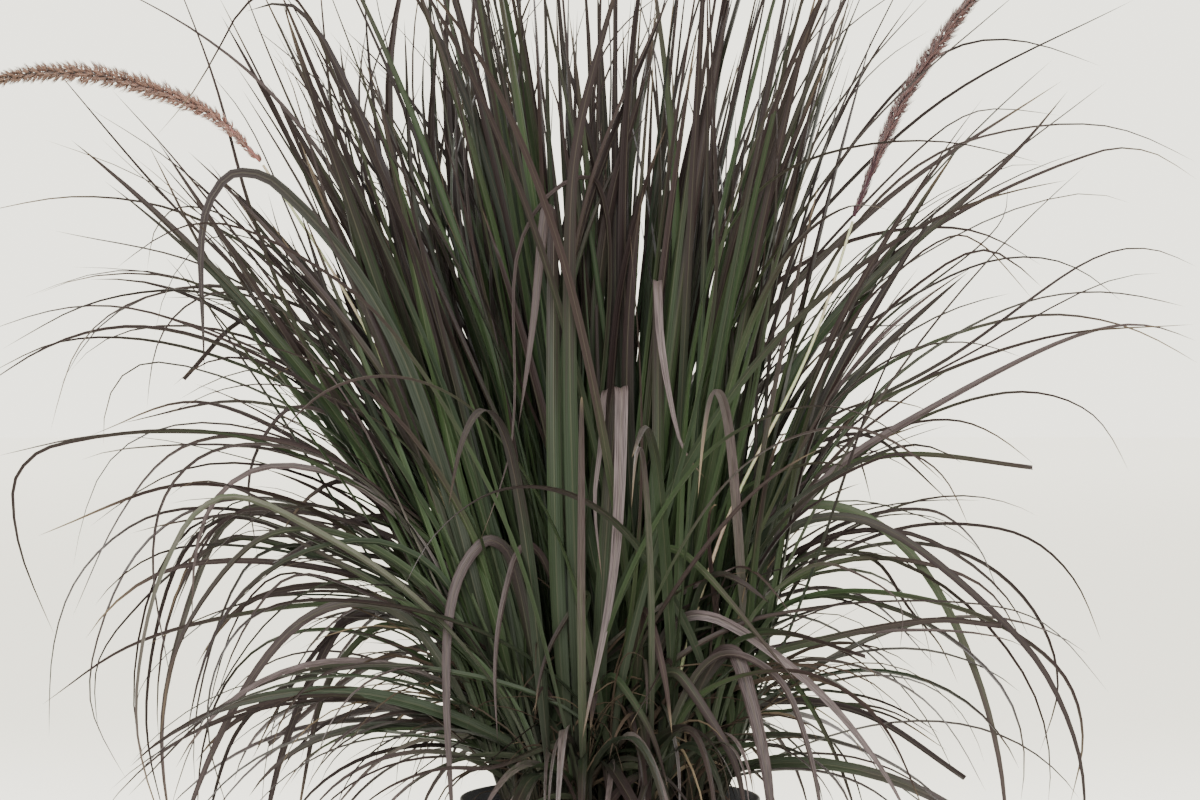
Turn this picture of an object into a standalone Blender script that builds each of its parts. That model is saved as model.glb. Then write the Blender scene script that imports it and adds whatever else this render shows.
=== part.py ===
"""Potted ornamental grass clump: a fountain of arching purple-green blades and two flower plumes.

Metres, +Z up. The origin is the middle of the pot's base, on the surface that it stands on. +X is to the
right and +Y away from someone who faces the clump, so its front is towards -Y.

The grass grows as shoots. A shoot is a short stem at the crown with four leaves on top, all one piece.
The leaves that show against the background are placed by their outlines, read from in front in
millimetres as (across, above the rim). The others follow the habit of the plant, all round.
"""

import math
import random
from typing import NamedTuple

import bmesh
import bpy
from mathutils import Matrix, Vector
from mathutils.bvhtree import BVHTree

MM = 0.001
SEED = 7

# Pot: a standard two gallon nursery pot
POT_HEIGHT = 0.215
RIM_RADIUS = 0.115
LIP_HEIGHT = 0.016
LIP_STEP = 0.0022
SHOULDER_RADIUS = 0.1105
BASE_RADIUS = 0.088
FLOOR = 0.004
FOOT_ROUND = 0.003
LIP_ROUND = 0.001
WALL = 0.0022
POT_SIDES = 36

# Potting mix, a little below the rim and slightly crowned, with rings at these shares of its radius
MIX_BELOW_RIM = 0.015
MIX_CROWN = 0.004
MIX_RINGS = (0.35, 0.70, 1.0)
MIX_EDGE = 1.2
GAP = 0.0003

# Crown: places for the shoots and the two flower stems on the potting mix
PLACES = 50
CROWN_RADIUS = 0.083
GOLDEN_ANGLE = math.pi * (3 - math.sqrt(5))
OUTER_LEAN = math.radians(20)
CULM_RADIUS = 0.005
CULM_LENGTHS = (0.040, 0.075)
LEAVES_A_SHOOT = 4

# A leaf: straight bands along it, and its section
BANDS = 6
FOLDED_BANDS = 8
FOLDED = math.radians(150)
KEEL_SHARE = 0.24
TIP_WIDTH_SHARE = 0.30
BASE_WIDTH_SHARE = 0.75
TURNED_BY_SHARE = 0.35
MATURE_WIDTH = 0.007
WISP_WIDTH = 0.0045
WISP_OUTLINE = 2.5
CUT_TIP = 0.001

# Room between leaves, and the share of the first band that leaves of one culm grow together
CLEARANCE = 0.0005
PARTING_SHARE = 0.12

# How far the leaves reach: down, and out from the middle at half height, at the top and near the pot
LOWEST_TIP = 0.030
MIDDLE_REACH = 0.43
TOP_REACH = 0.29
TOP_BAND = (0.45, 0.62)
LOW_DEPTH = 0.16
LOW_BAND = (-0.02, 0.22)
LEAST_DEPTH = 0.09
MOST_REACH = 0.47

# Outlined leaves: the part of the crown that they rise from, places tried, and how depth grows along
# them; a slot that faces sideways is as good as one that stands this much further off
BACK_AND_FRONT = 0.8
FRONT_CROWN = -0.6
ACROSS_TO_CROWN = 0.35
WIDEST_FOOT = 0.9
OUTLINE_TRIES = 3
SLOTS_TRIED = 24
SIDEWAYS_COSTS = 0.030
DEPTH_SPREAD = (0.6, 1.1)
SHIFTS = (0, 0.012, -0.012, 0.025, -0.025, 0.045, -0.045, 0.07, -0.07, 0.1, -0.1)
DEPTH_POWER = 1.2
OUTWARD_START = 0.12

# Leaves that follow the plant's habit: ranges in metres and degrees, for the middle and the outside
HABIT_TRIES = 40
HABIT_LENGTHS = (0.42, 0.62)
MIDDLE_EXTRA = 0.16
HABIT_WIDTHS = (0.006, 0.010)
FIRST_LEAN = (3, 14, 12)
BEND_ANYWHERE = (20, 60)
BEND_OUTSIDE = (40, 100)
DROOP_POWERS = (1.2, 2.0)
HEADING_SPREAD = (0.25, 0.55)
HABIT_TWIST = 0.6
HABIT_STEPS = 40
UPRIGHT_SHARE = 0.1

# Where the outlines were read from: eye level with the middle of the clump
EYE = Vector((-0.008, -2.3, 0.519))
CURVE_STEPS = 14

# Flower stems and plumes
STEM_RADIUS = 0.0013
STEM_STEPS = 12
PLUME_SIDES = 8
PLUME_TIERS = 9
TIER_WAIST = 0.62
TIER_TWIST = 0.35


class Blade(NamedTuple):
    """One leaf as it shows from in front: its width there, and its points from the crown side to its tip."""

    width: float
    points: tuple
    cut: bool = False
    depth: float | None = None


# Blades that arch out or stand up on the left
LEFT_BLADES = (
    Blade(5, ((-200, 460), (-240, 519), (-300, 573), (-356, 610), (-392, 626))),
    Blade(3, ((-195, 500), (-228, 590), (-254, 628), (-278, 610), (-318, 541), (-349, 505))),
    Blade(4, ((-258, 403), (-277, 455), (-300, 540), (-326, 610), (-340, 645))),
    Blade(3, ((-225, 400), (-263, 482), (-290, 537), (-308, 556))),
    Blade(4, ((-240, 355), (-300, 417), (-340, 458), (-380, 504), (-432, 566))),
    Blade(3, ((-245, 375), (-296, 440), (-340, 496), (-382, 542))),
    Blade(2, ((-250, 400), (-310, 465), (-360, 504), (-403, 530))),
    Blade(3, ((-235, 390), (-290, 430), (-330, 449), (-380, 459), (-440, 458), (-486, 447))),
    Blade(3, ((-250, 372), (-315, 409), (-350, 421), (-400, 431), (-427, 434))),
    Blade(3, ((-250, 420), (-305, 441), (-325, 439), (-355, 424), (-380, 404))),
    Blade(3, ((-255, 410), (-310, 452), (-342, 450), (-353, 425), (-355, 403))),
    Blade(12, ((-205, 415), (-245, 460), (-285, 484), (-307, 460), (-311, 400), (-311, 325))),
    Blade(4, ((-190, 430), (-228, 495), (-258, 565), (-276, 606), (-288, 640))),
    Blade(4, ((-195, 450), (-222, 520), (-243, 580), (-250, 610), (-257, 650))),
    Blade(3, ((-188, 480), (-215, 545), (-245, 610), (-265, 636))),
    Blade(5, ((-195, 420), (-210, 500), (-217, 565), (-221, 610), (-226, 662))),
    Blade(3, ((-160, 460), (-190, 510), (-220, 545), (-276, 592))),
    Blade(5, ((-210, 280), (-240, 312), (-300, 346), (-360, 361), (-420, 350), (-466, 325), (-490, 308))),
    Blade(4, ((-200, 285), (-260, 320), (-320, 343), (-380, 352), (-430, 347), (-480, 322))),
    Blade(3, ((-225, 345), (-262, 366), (-300, 385), (-340, 389), (-400, 378), (-466, 343))),
    Blade(3, ((-215, 310), (-260, 335), (-310, 355), (-350, 371), (-400, 376), (-440, 371), (-480, 356))),
    Blade(3, ((-235, 375), (-280, 390), (-340, 387), (-380, 373), (-405, 350), (-425, 298), (-429, 280))),
    Blade(3, ((-240, 365), (-290, 388), (-325, 380), (-343, 358), (-355, 320), (-355, 298))),
    Blade(4, ((-225, 345), (-275, 370), (-300, 352), (-327, 320)), cut=True),
    Blade(4, ((-190, 245), (-240, 270), (-300, 278), (-360, 279), (-420, 273), (-470, 261))),
    Blade(5, ((-185, 240), (-240, 268), (-280, 288), (-322, 304), (-360, 292), (-400, 276))),
    Blade(2, ((-200, 300), (-240, 314), (-280, 316), (-318, 305), (-345, 290))),
    Blade(4, ((-230, 265), (-290, 277), (-330, 268), (-362, 235), (-387, 195), (-402, 150), (-412, 138))),
    Blade(3, ((-225, 262), (-280, 272), (-325, 255), (-346, 222), (-351, 180), (-341, 135), (-336, 85))),
    Blade(5, ((-210, 290), (-245, 300), (-262, 280), (-276, 252), (-277, 225), (-270, 182))),
    Blade(4, ((-240, 262), (-300, 280), (-360, 278), (-400, 275), (-456, 252), (-455, 200), (-425, 122))),
    Blade(3, ((-230, 210), (-290, 220), (-345, 219), (-385, 195), (-412, 163), (-426, 120), (-430, 45))),
    Blade(3, ((-235, 225), (-310, 225), (-352, 200), (-380, 155), (-397, 105), (-399, 70), (-370, 12))),
    Blade(3, ((-240, 200), (-310, 190), (-345, 160), (-375, 132), (-395, 98), (-388, 65), (-392, 48))),
    Blade(5, ((-230, 205), (-305, 230), (-340, 180), (-355, 125), (-364, 65), (-350, -5), (-335, -45))),
    Blade(4, ((-225, 190), (-300, 215), (-335, 175), (-347, 110), (-356, 55), (-344, 0), (-338, -30))),
    Blade(6, ((-215, 215), (-290, 218), (-315, 165), (-337, 100), (-344, 55), (-340, -5), (-330, -60))),
    Blade(6, ((-205, 200), (-260, 203), (-300, 165), (-325, 130), (-340, 85), (-345, 40))),
    Blade(5, ((-170, 143), (-240, 146), (-320, 129), (-400, 101), (-436, 70))),
    Blade(3, ((-170, 100), (-240, 95), (-300, 68), (-340, 38), (-370, 0))),
    Blade(8, ((-190, 150), (-225, 142), (-265, 105), (-297, 50), (-320, -3), (-338, -70))),
    Blade(5, ((-195, 100), (-240, 90), (-283, 55), (-304, 0), (-312, -50))),
    Blade(3, ((-220, 150), (-270, 142), (-297, 112), (-309, 60), (-300, 10), (-290, -20))),
    Blade(5, ((-180, 215), (-205, 210), (-225, 200), (-258, 178)), cut=True),
    Blade(9, ((-165, 145), (-200, 140), (-220, 105), (-240, 65), (-261, -5), (-270, -65))),
    Blade(6, ((-180, 130), (-217, 85), (-228, 45), (-238, 0), (-243, -35))),
    Blade(6, ((-120, 115), (-165, 110), (-215, 78), (-262, 40)), cut=True),
    Blade(5, ((-100, 45), (-133, 46), (-160, 38), (-195, 12), (-225, -25))),
    Blade(4, ((-95, 22), (-127, 22), (-165, 10), (-200, -15))),
)

# Blades that stand in the top of the clump
TOP_BLADES = (
    Blade(4, ((-180, 420), (-190, 470), (-188, 525), (-178, 570), (-160, 610), (-148, 642))),
    Blade(11, ((-70, 400), (-90, 470), (-118, 555), (-147, 610), (-168, 645))),
    Blade(7, ((-125, 400), (-132, 480), (-136, 560), (-138, 610), (-141, 675))),
    Blade(8, ((-90, 440), (-108, 545), (-122, 590), (-128, 612), (-138, 662))),
    Blade(5, ((-95, 470), (-108, 555), (-116, 610), (-124, 672))),
    Blade(6, ((-75, 400), (-87, 510), (-92, 580), (-97, 690))),
    Blade(4, ((-72, 450), (-81, 560), (-80, 610), (-77, 674))),
    Blade(5, ((-58, 400), (-67, 520), (-68, 610), (-71, 702))),
    Blade(5, ((-42, 400), (-48, 520), (-50, 612), (-55, 715))),
    Blade(3, ((-120, 490), (-110, 550), (-80, 595), (-42, 645))),
    Blade(3, ((-118, 500), (-115, 555), (-92, 612), (-76, 652))),
    Blade(3, ((-56, 450), (-66, 530), (-72, 572), (-82, 584))),
    Blade(3, ((-195, 470), (-205, 520), (-206, 555), (-199, 582))),
    Blade(3, ((-120, 440), (-140, 500), (-155, 538), (-181, 556))),
    Blade(12, ((-30, 420), (-27, 495), (-8, 570), (4, 612), (17, 662))),
    Blade(4, ((-25, 480), (0, 580), (15, 597), (52, 624))),
    Blade(9, ((50, 380), (50, 470), (42, 560), (35, 610), (26, 680))),
    Blade(5, ((-22, 440), (-5, 500), (25, 565), (62, 650))),
    Blade(3, ((45, 500), (38, 560), (22, 610), (12, 660))),
    Blade(3, ((82, 420), (79, 500), (76, 560), (74, 676))),
    Blade(3, ((40, 470), (55, 545), (73, 610), (84, 650))),
    Blade(4, ((78, 430), (86, 565), (93, 590), (114, 668))),
    Blade(6, ((90, 380), (80, 440), (72, 500), (56, 547))),
    Blade(4, ((88, 430), (98, 500), (120, 610), (132, 680))),
    Blade(8, ((95, 400), (108, 470), (130, 590), (148, 684))),
    Blade(6, ((110, 420), (123, 490), (138, 545), (167, 610), (186, 642))),
    Blade(5, ((118, 400), (130, 460), (146, 530), (168, 610), (180, 652))),
    Blade(3, ((120, 520), (150, 578), (165, 595), (188, 618))),
    Blade(3, ((125, 500), (155, 560), (180, 588), (238, 628))),
    Blade(3, ((130, 420), (145, 470), (160, 525), (190, 610), (207, 650))),
    Blade(3, ((110, 400), (140, 460), (180, 530), (220, 573), (246, 588))),
)

# Blades that arch out or hang on the right
RIGHT_BLADES = (
    Blade(4, ((155, 450), (200, 522), (238, 562), (300, 581), (350, 572), (376, 560))),
    Blade(4, ((130, 410), (200, 485), (260, 538), (320, 577), (402, 611))),
    Blade(3, ((150, 405), (190, 445), (240, 498), (275, 525), (345, 522))),
    Blade(7, ((130, 380), (165, 415), (240, 480), (320, 532), (347, 549))),
    Blade(9, ((165, 360), (205, 400), (260, 450), (320, 503), (351, 541))),
    Blade(3, ((180, 380), (240, 440), (330, 508), (381, 548))),
    Blade(3, ((200, 450), (245, 490), (290, 507), (345, 516), (400, 511), (450, 486))),
    Blade(5, ((200, 400), (260, 443), (320, 474), (360, 489), (405, 499), (450, 473))),
    Blade(3, ((155, 490), (200, 501), (270, 501), (332, 485))),
    Blade(5, ((150, 410), (180, 425), (220, 434), (265, 437), (310, 422), (331, 407))),
    Blade(3, ((215, 370), (268, 407), (300, 441), (307, 456), (304, 473))),
    Blade(4, ((190, 300), (262, 337), (300, 368), (350, 401), (390, 420), (420, 420), (450, 406))),
    Blade(3, ((230, 410), (270, 433), (298, 412), (325, 380))),
    Blade(3, ((200, 365), (240, 385), (290, 411), (335, 413), (375, 397), (393, 379))),
    Blade(3, ((205, 345), (225, 364), (234, 367), (238, 357))),
    Blade(6, ((165, 245), (215, 280), (270, 310), (340, 346), (380, 360), (420, 361), (450, 349))),
    Blade(4, ((178, 288), (220, 310), (300, 340), (360, 358), (400, 362), (448, 362))),
    Blade(3, ((190, 262), (245, 292), (290, 308), (335, 309), (370, 294), (398, 249))),
    Blade(4, ((165, 268), (215, 282), (262, 289), (300, 275), (326, 254))),
    Blade(5, ((150, 245), (190, 257), (235, 263), (270, 263), (324, 252)), cut=True),
    Blade(5, ((155, 270), (197, 278), (235, 245), (264, 223))),
    Blade(3, ((185, 250), (232, 263), (252, 250), (270, 220), (276, 205))),
    Blade(3, ((170, 300), (205, 330), (240, 346), (280, 348), (318, 336))),
    Blade(8, ((150, 225), (185, 220), (220, 198), (258, 145), (290, 65), (303, -3), (304, -75))),
    Blade(7, ((160, 215), (215, 205), (270, 160), (320, 115), (355, 50), (365, 0), (362, -55))),
    Blade(4, ((170, 205), (215, 219), (255, 217), (280, 195), (299, 153))),
    Blade(4, ((170, 185), (230, 207), (280, 208), (320, 199), (355, 168), (377, 118))),
    Blade(4, ((160, 180), (225, 195), (285, 180), (328, 138), (344, 85), (329, 33))),
    Blade(5, ((140, 150), (200, 157), (245, 150), (310, 125), (355, 82), (363, 40), (352, -8))),
    Blade(2, ((160, 145), (215, 150), (280, 150), (330, 135), (383, 79))),
    Blade(4, ((170, 190), (205, 180), (228, 145), (252, 118), (267, 86))),
    Blade(6, ((110, 105), (160, 120), (200, 127), (262, 136), (300, 131)), cut=True),
    Blade(6, ((95, 70), (140, 73), (190, 66), (230, 43), (272, 14)), cut=True),
    Blade(4, ((130, 78), (180, 70), (225, 58), (259, 35))),
    Blade(8, ((65, 140), (95, 132), (140, 100), (180, 57), (220, 3), (236, -30))),
    Blade(3, ((165, 90), (205, 60), (228, 15), (245, -20))),
    Blade(4, ((115, 125), (150, 122), (175, 113), (196, 107)), cut=True),
    Blade(3, ((125, 100), (165, 117), (190, 117), (222, 97), (237, 76))),
    Blade(6, ((95, 110), (125, 95), (148, 50), (160, 0), (164, -55))),
    Blade(5, ((100, 118), (135, 95), (162, 55), (185, 0), (196, -40))),
    Blade(3, ((135, 165), (165, 180), (190, 165), (222, 150), (222, 112))),
    Blade(4, ((120, 150), (160, 160), (180, 158), (215, 140), (250, 100))),
)

# Folded blades that hang down the front, with how far forward their tips are
FRONT_BLADES = (
    Blade(12, ((9, 317), (7, 250), (2, 165), (-6, 120), (-22, 40)), depth=-150),
    Blade(7, ((-5, 307), (-7, 268), (-12, 230), (-6, 165)), depth=-120),
    Blade(4, ((-39, 469), (-64, 440), (-73, 356), (-80, 243), (-102, 190)), depth=-135),
    Blade(12, ((-50, 445), (-54, 405), (-63, 331), (-71, 278)), depth=-105),
    Blade(10, ((37, 387), (38, 356), (48, 307), (60, 257), (74, 243)), depth=-120),
    Blade(8, ((29, 140), (37, 113), (44, 80), (48, 45)), depth=-165),
    Blade(7, ((3, 92), (25, 61), (38, 34), (45, 5)), depth=-150),
    Blade(7, ((52, 190), (84, 156), (107, 133), (146, 84)), depth=-140),
    Blade(9, ((50, 96), (74, 61), (94, 30), (106, -30)), depth=-165),
    Blade(13, ((95, 112), (109, 64), (119, 25), (126, -60)), depth=-150),
    Blade(12, ((22, 60), (26, 25), (30, -40)), depth=-185),
    Blade(6, ((-20, 155), (-40, 127), (-55, 85), (-58, 60)), depth=-130),
    Blade(9, ((-98, 196), (-116, 170), (-125, 110), (-122, 20), (-119, -50)), depth=-110),
    Blade(6, ((-70, 190), (-82, 150), (-88, 100), (-86, 40)), depth=-140),
)

# Flower stems from their feet, in plan, up to their plumes, then the plumes' own lines, with half the
# width of the bristles
LEFT_FOOT = Vector((-0.045, -0.020))
LEFT_STEM = ((-120, 210), (-205, 390), (-266, 484))
LEFT_PLUME = ((-268, 487), (-300, 519), (-350, 542), (-410, 555), (-468, 550), (-512, 534))
LEFT_PLUME_HALF_WIDTHS = (4, 9, 11.5, 11.5, 9, 3)
LEFT_FLOWER_DEPTH = -45
RIGHT_FOOT = Vector((0.040, -0.030))
RIGHT_STEM = ((85, 200), (160, 360), (186, 441))
RIGHT_PLUME = ((187, 445), (200, 478), (220, 525), (245, 567), (278, 612), (308, 648))
RIGHT_PLUME_HALF_WIDTHS = (3, 6.5, 9, 9.5, 8, 2.5)
RIGHT_FLOWER_DEPTH = -60

# Colours and finishes: base colour, roughness
POT_BLACK = ((0.012, 0.012, 0.013, 1), 0.45)
MIX_BROWN = ((0.035, 0.022, 0.014, 1), 0.95)
BLADE_BURGUNDY = ((0.075, 0.060, 0.045, 1), 0.50)
STEM_GREEN = ((0.22, 0.25, 0.12, 1), 0.55)
PLUME_TAN = ((0.42, 0.27, 0.23, 1), 0.85)


def clear_scene():
    """Start from nothing."""
    for item in list(bpy.data.objects):
        bpy.data.objects.remove(item, do_unlink=True)


def new_collection(name):
    """A collection in the scene."""
    collection = bpy.data.collections.new(name)
    bpy.context.scene.collection.children.link(collection)
    return collection


def new_material(name, finish):
    """A Principled material from a colour and a roughness."""
    colour, roughness = finish
    material = bpy.data.materials.new(name)
    material.use_nodes = True
    shader = material.node_tree.nodes["Principled BSDF"]
    shader.inputs["Base Color"].default_value = colour
    shader.inputs["Roughness"].default_value = roughness
    material.diffuse_color = colour
    return material


def add_object(name, data, material, collection):
    """A named object with its material, in its collection."""
    item = bpy.data.objects.new(name, data)
    data.materials.append(material)
    collection.objects.link(item)
    return item


def turned(name, profile, material, collection):
    """A solid turned about Z from a profile that runs down its outer side."""
    mesh = bpy.data.meshes.new(name)
    edges = [(i, i + 1) for i in range(len(profile) - 1)]
    mesh.from_pydata([(radius, 0, height) for radius, height in profile], edges, [])
    item = add_object(name, mesh, material, collection)
    screw = item.modifiers.new("turn", "SCREW")
    screw.steps = POT_SIDES
    screw.render_steps = POT_SIDES
    screw.use_merge_vertices = True
    screw.merge_threshold = 0.00001
    screw.use_smooth_shade = True
    return item


def wall_radius(height):
    """The outer radius of the pot's side at a height, below the lip."""
    share = height / (POT_HEIGHT - LIP_HEIGHT)
    return BASE_RADIUS + (SHOULDER_RADIUS - BASE_RADIUS) * share


def make_pot(material, collection):
    """The pot: a tapered cup with a stepped lip and a flat base."""
    lip_bottom = POT_HEIGHT - LIP_HEIGHT
    mouth = RIM_RADIUS - LIP_STEP - WALL
    profile = (
        (0, FLOOR),
        (wall_radius(FLOOR) - WALL, FLOOR),
        (wall_radius(lip_bottom) - WALL, lip_bottom),
        (mouth, POT_HEIGHT - LIP_ROUND),
        (mouth + LIP_ROUND, POT_HEIGHT),
        (RIM_RADIUS - LIP_ROUND, POT_HEIGHT),
        (RIM_RADIUS, POT_HEIGHT - LIP_ROUND),
        (RIM_RADIUS - LIP_ROUND / 2, lip_bottom),
        (wall_radius(lip_bottom), lip_bottom),
        (wall_radius(FOOT_ROUND), FOOT_ROUND),
        (BASE_RADIUS - FOOT_ROUND, 0),
        (0, 0),
    )
    return turned("pot", profile, material, collection)


def mix_height(radius):
    """The height of the potting mix's surface at a distance from the middle."""
    share = min(radius / CROWN_RADIUS, MIX_EDGE)
    return POT_HEIGHT - MIX_BELOW_RIM + MIX_CROWN * (1 - share * share)


def make_mix(material, collection):
    """The potting mix: it fills the pot, and its top is slightly crowned."""
    bottom = FLOOR + GAP
    side = wall_radius(bottom) - WALL - GAP
    top_radius = wall_radius(mix_height(CROWN_RADIUS * MIX_EDGE)) - WALL - 2 * GAP
    top = [(0, mix_height(0))]
    for share in MIX_RINGS:
        top.append((top_radius * share, mix_height(top_radius * share)))
    profile = top + [(side, bottom), (0, bottom)]
    return turned("potting_mix", profile, material, collection)


def crown_place(index):
    """Where a shoot stands, as a point in plan; the places fill the crown evenly, like seeds on a head."""
    radius = CROWN_RADIUS * math.sqrt((index + 0.5) / PLACES)
    angle = index * GOLDEN_ANGLE
    return Vector((radius * math.cos(angle), radius * math.sin(angle)))


def from_in_front(across, above_rim, depth):
    """The point seen from in front at these millimetres on the plane of the pot's axis, at a depth."""
    flat = Vector((across * MM, 0, POT_HEIGHT + above_rim * MM))
    share = (depth - EYE.y) / (flat.y - EYE.y)
    return Vector((EYE.x + (flat.x - EYE.x) * share, depth, EYE.z + (flat.z - EYE.z) * share))


def smooth_curve(points, first_direction):
    """Points on a smooth curve through the given ones, that sets off in the given direction."""
    tangents = [first_direction.normalized()]
    for before, here, after in zip(points, points[1:], points[2:]):
        arriving = (here - before) / (here - before).length_squared
        leaving = (after - here) / (after - here).length_squared
        tangents.append((arriving + leaving) / (1 / (here - before).length + 1 / (after - here).length))
    tangents.append((points[-1] - points[-2]).normalized())
    curve = [points[0]]
    for start, end, leave, arrive in zip(points, points[1:], tangents, tangents[1:]):
        span = (end - start).length
        for step in range(1, CURVE_STEPS + 1):
            t = step / CURVE_STEPS
            bulge = leave * span * t * (1 - t) ** 2 - arrive * span * t * t * (1 - t)
            curve.append(start.lerp(end, t * t * (3 - 2 * t)) + bulge)
    return curve


def lengths_along(curve):
    """How far along a curve each of its points is."""
    reach = [0.0]
    for before, here in zip(curve, curve[1:]):
        reach.append(reach[-1] + (here - before).length)
    return reach


def off_chord(point, start, end):
    """How far a point is from the straight line between two others."""
    chord = end - start
    share = max(0.0, min(1.0, (point - start).dot(chord) / chord.length_squared))
    return (point - start - chord * share).length


def turning(curve):
    """How far a line turns in all, in radians."""
    steps = [after - before for before, after in zip(curve, curve[1:])]
    return sum(before.angle(after, 0) for before, after in zip(steps, steps[1:]))


def evenly(curve, count):
    """This many points after the first that part a curve evenly, with their shares of its length."""
    reach = lengths_along(curve)
    shares = [far / reach[-1] for far in reach]
    kept = []
    for step in range(1, count + 1):
        index = min(range(len(curve)), key=lambda place: abs(shares[place] - step / count))
        kept.append((curve[index], shares[index]))
    return kept


def stations(curve, count):
    """The points after the first that follow a curve best in this many straight bands, with their
    shares of its length."""
    kept = [0, len(curve) - 1]
    while len(kept) < count + 1:
        gaps = []
        for first, last in zip(kept, kept[1:]):
            for index in range(first + 1, last):
                gaps.append((off_chord(curve[index], curve[first], curve[last]), index))
        kept = sorted(kept + [max(gaps)[1]])
    reach = lengths_along(curve)
    return [(curve[index], reach[index] / reach[-1]) for index in kept[1:]]


class Slot(NamedTuple):
    """A corner of a shoot's top that a leaf can grow from."""

    shoot: int
    corner: int
    middle: Vector
    upward: Vector
    outward: Vector


class Shoot:
    """The culm of one shoot: where it stands, how it leans, and the corners of its top."""

    def __init__(self, index, place, chance):
        self.index = index
        self.place = place
        share = place.length / CROWN_RADIUS
        radial = place.normalized()
        lean = OUTER_LEAN * share
        self.axis = Vector((radial.x * math.sin(lean), radial.y * math.sin(lean), math.cos(lean)))
        self.length = chance.uniform(*CULM_LENGTHS)
        self.turn = chance.uniform(0, 2 * math.pi)
        self.foot = Vector((place.x, place.y, mix_height(place.length) + GAP))
        self.top = self.foot + self.axis * self.length
        self.slots = [self.slot(corner) for corner in range(LEAVES_A_SHOOT)]
        self.leaves = {}

    def ring(self, level):
        """The corners of the culm at its foot (level 0) or its top (level 1)."""
        tilt = Vector((0, 0, 1)).rotation_difference(self.axis).to_matrix()
        corners = []
        for step in range(2 * LEAVES_A_SHOOT):
            angle = self.turn + math.pi * step / LEAVES_A_SHOOT
            arm = Vector((math.cos(angle), math.sin(angle), 0)) * CULM_RADIUS
            if level:
                corners.append(self.top + tilt @ arm)
                continue
            corner = self.foot + arm
            corner.z = mix_height(corner.xy.length) + GAP
            corners.append(corner)
        return corners

    def slot(self, corner):
        """The slot at one corner: three points of the top ring, the middle one being the keel."""
        ring = self.ring(1)
        left, keel, right = (ring[(2 * corner + step) % len(ring)] for step in range(3))
        middle = (left + right) / 2
        return Slot(self.index, corner, middle, self.axis, (keel - middle).normalized())

    def hull(self):
        """The culm as points and faces, for telling whether a leaf would run into it."""
        sides = 2 * LEAVES_A_SHOOT
        faces = [(i, (i + 1) % sides, sides + (i + 1) % sides, sides + i) for i in range(sides)]
        faces.append(tuple(range(sides, 2 * sides)))
        return BVHTree.FromPolygons(self.ring(0) + self.ring(1), faces)


def depth_room(across, above_rim):
    """How far in front of or behind the pot's axis a tip may lie, for the clump to be as round in plan
    as it is wide, narrower at the top, and for the lowest leaves to stay near the pot."""
    risen = share_between(above_rim, TOP_BAND)
    raised = share_between(above_rim, LOW_BAND)
    reach = MIDDLE_REACH + (TOP_REACH - MIDDLE_REACH) * risen
    round_room = math.sqrt(max(LEAST_DEPTH ** 2, reach ** 2 - across ** 2))
    return min(round_room, LOW_DEPTH + (reach - LOW_DEPTH) * raised)


def share_between(value, band):
    """Where a value lies between two others, held to the share from 0 to 1."""
    return max(0.0, min(1.0, (value - band[0]) / (band[1] - band[0])))


def leaf_sides(points, tip, slot, blade_side):
    """The direction of the leaf's width at each point: across the culm at first, then as the blade lies.
    It is carried round each bend, so that the blade doesn't turn over."""
    side = slot.upward.cross(slot.outward).normalized()
    heading = slot.upward
    line = [slot.middle] + [point for point, share in points] + [tip]
    sides = []
    for before, (point, share), after in zip(line, points, line[2:]):
        along = ((point - before).normalized() + (after - point).normalized()).normalized()
        side = heading.rotation_difference(along).to_matrix() @ side
        heading = along
        wanted = blade_side(along, side)
        side = side.lerp(wanted, min(1.0, share / TURNED_BY_SHARE))
        side = (side - along * side.dot(along)).normalized()
        sides.append((along, side))
    return sides


def seen_width_side(width, full_width, turn):
    """Rolls a leaf so that from in front it looks as wide as the outline says, though it is wider."""
    facing = min(1.0, width / full_width)
    edge_on = math.sqrt(1 - facing * facing)
    end_on = 0.2

    def side_of(along, before):
        flat = along.cross(Vector((0, 1, 0)))
        if flat.length < end_on:
            return before
        side = flat.normalized() * facing * turn + Vector((0, 1, 0)) * edge_on
        return side if side.dot(before) >= 0 else -side

    return side_of


def twisting_side(outward, turn):
    """A leaf that keeps its width level, and twists a little."""
    level = Vector((0, 0, 1)).cross(outward).normalized()

    def side_of(along, before):
        side = Matrix.Rotation(turn, 3, along) @ level
        return side if side.dot(before) >= 0 else -side

    return side_of


def leaf_rings(curve, slot, full_width, cut, side_of):
    """The leaf's cross-sections, each as left edge, keel and right edge, and its tip."""
    points = stations(curve, FOLDED_BANDS if turning(curve) > FOLDED else BANDS)
    tip = points[-1][0]
    if cut:
        tip_direction = (tip - curve[-3]).normalized()
        points = points[:-1] + [(tip - tip_direction * CUT_TIP, 1.0)]
    else:
        points = points[:-1]
    rings = []
    for (point, share), (along, side) in zip(points, leaf_sides(points, tip, slot, side_of)):
        taper = 1.0 if cut else TIP_WIDTH_SHARE + (1 - TIP_WIDTH_SHARE) * (1 - share ** 3)
        swell = min(1.0, BASE_WIDTH_SHARE + share)
        width = full_width * taper * swell
        under = along.cross(side) * (width * KEEL_SHARE)
        rings.append((point - side * width / 2, point - under, point + side * width / 2))
    return rings, tip


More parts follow.
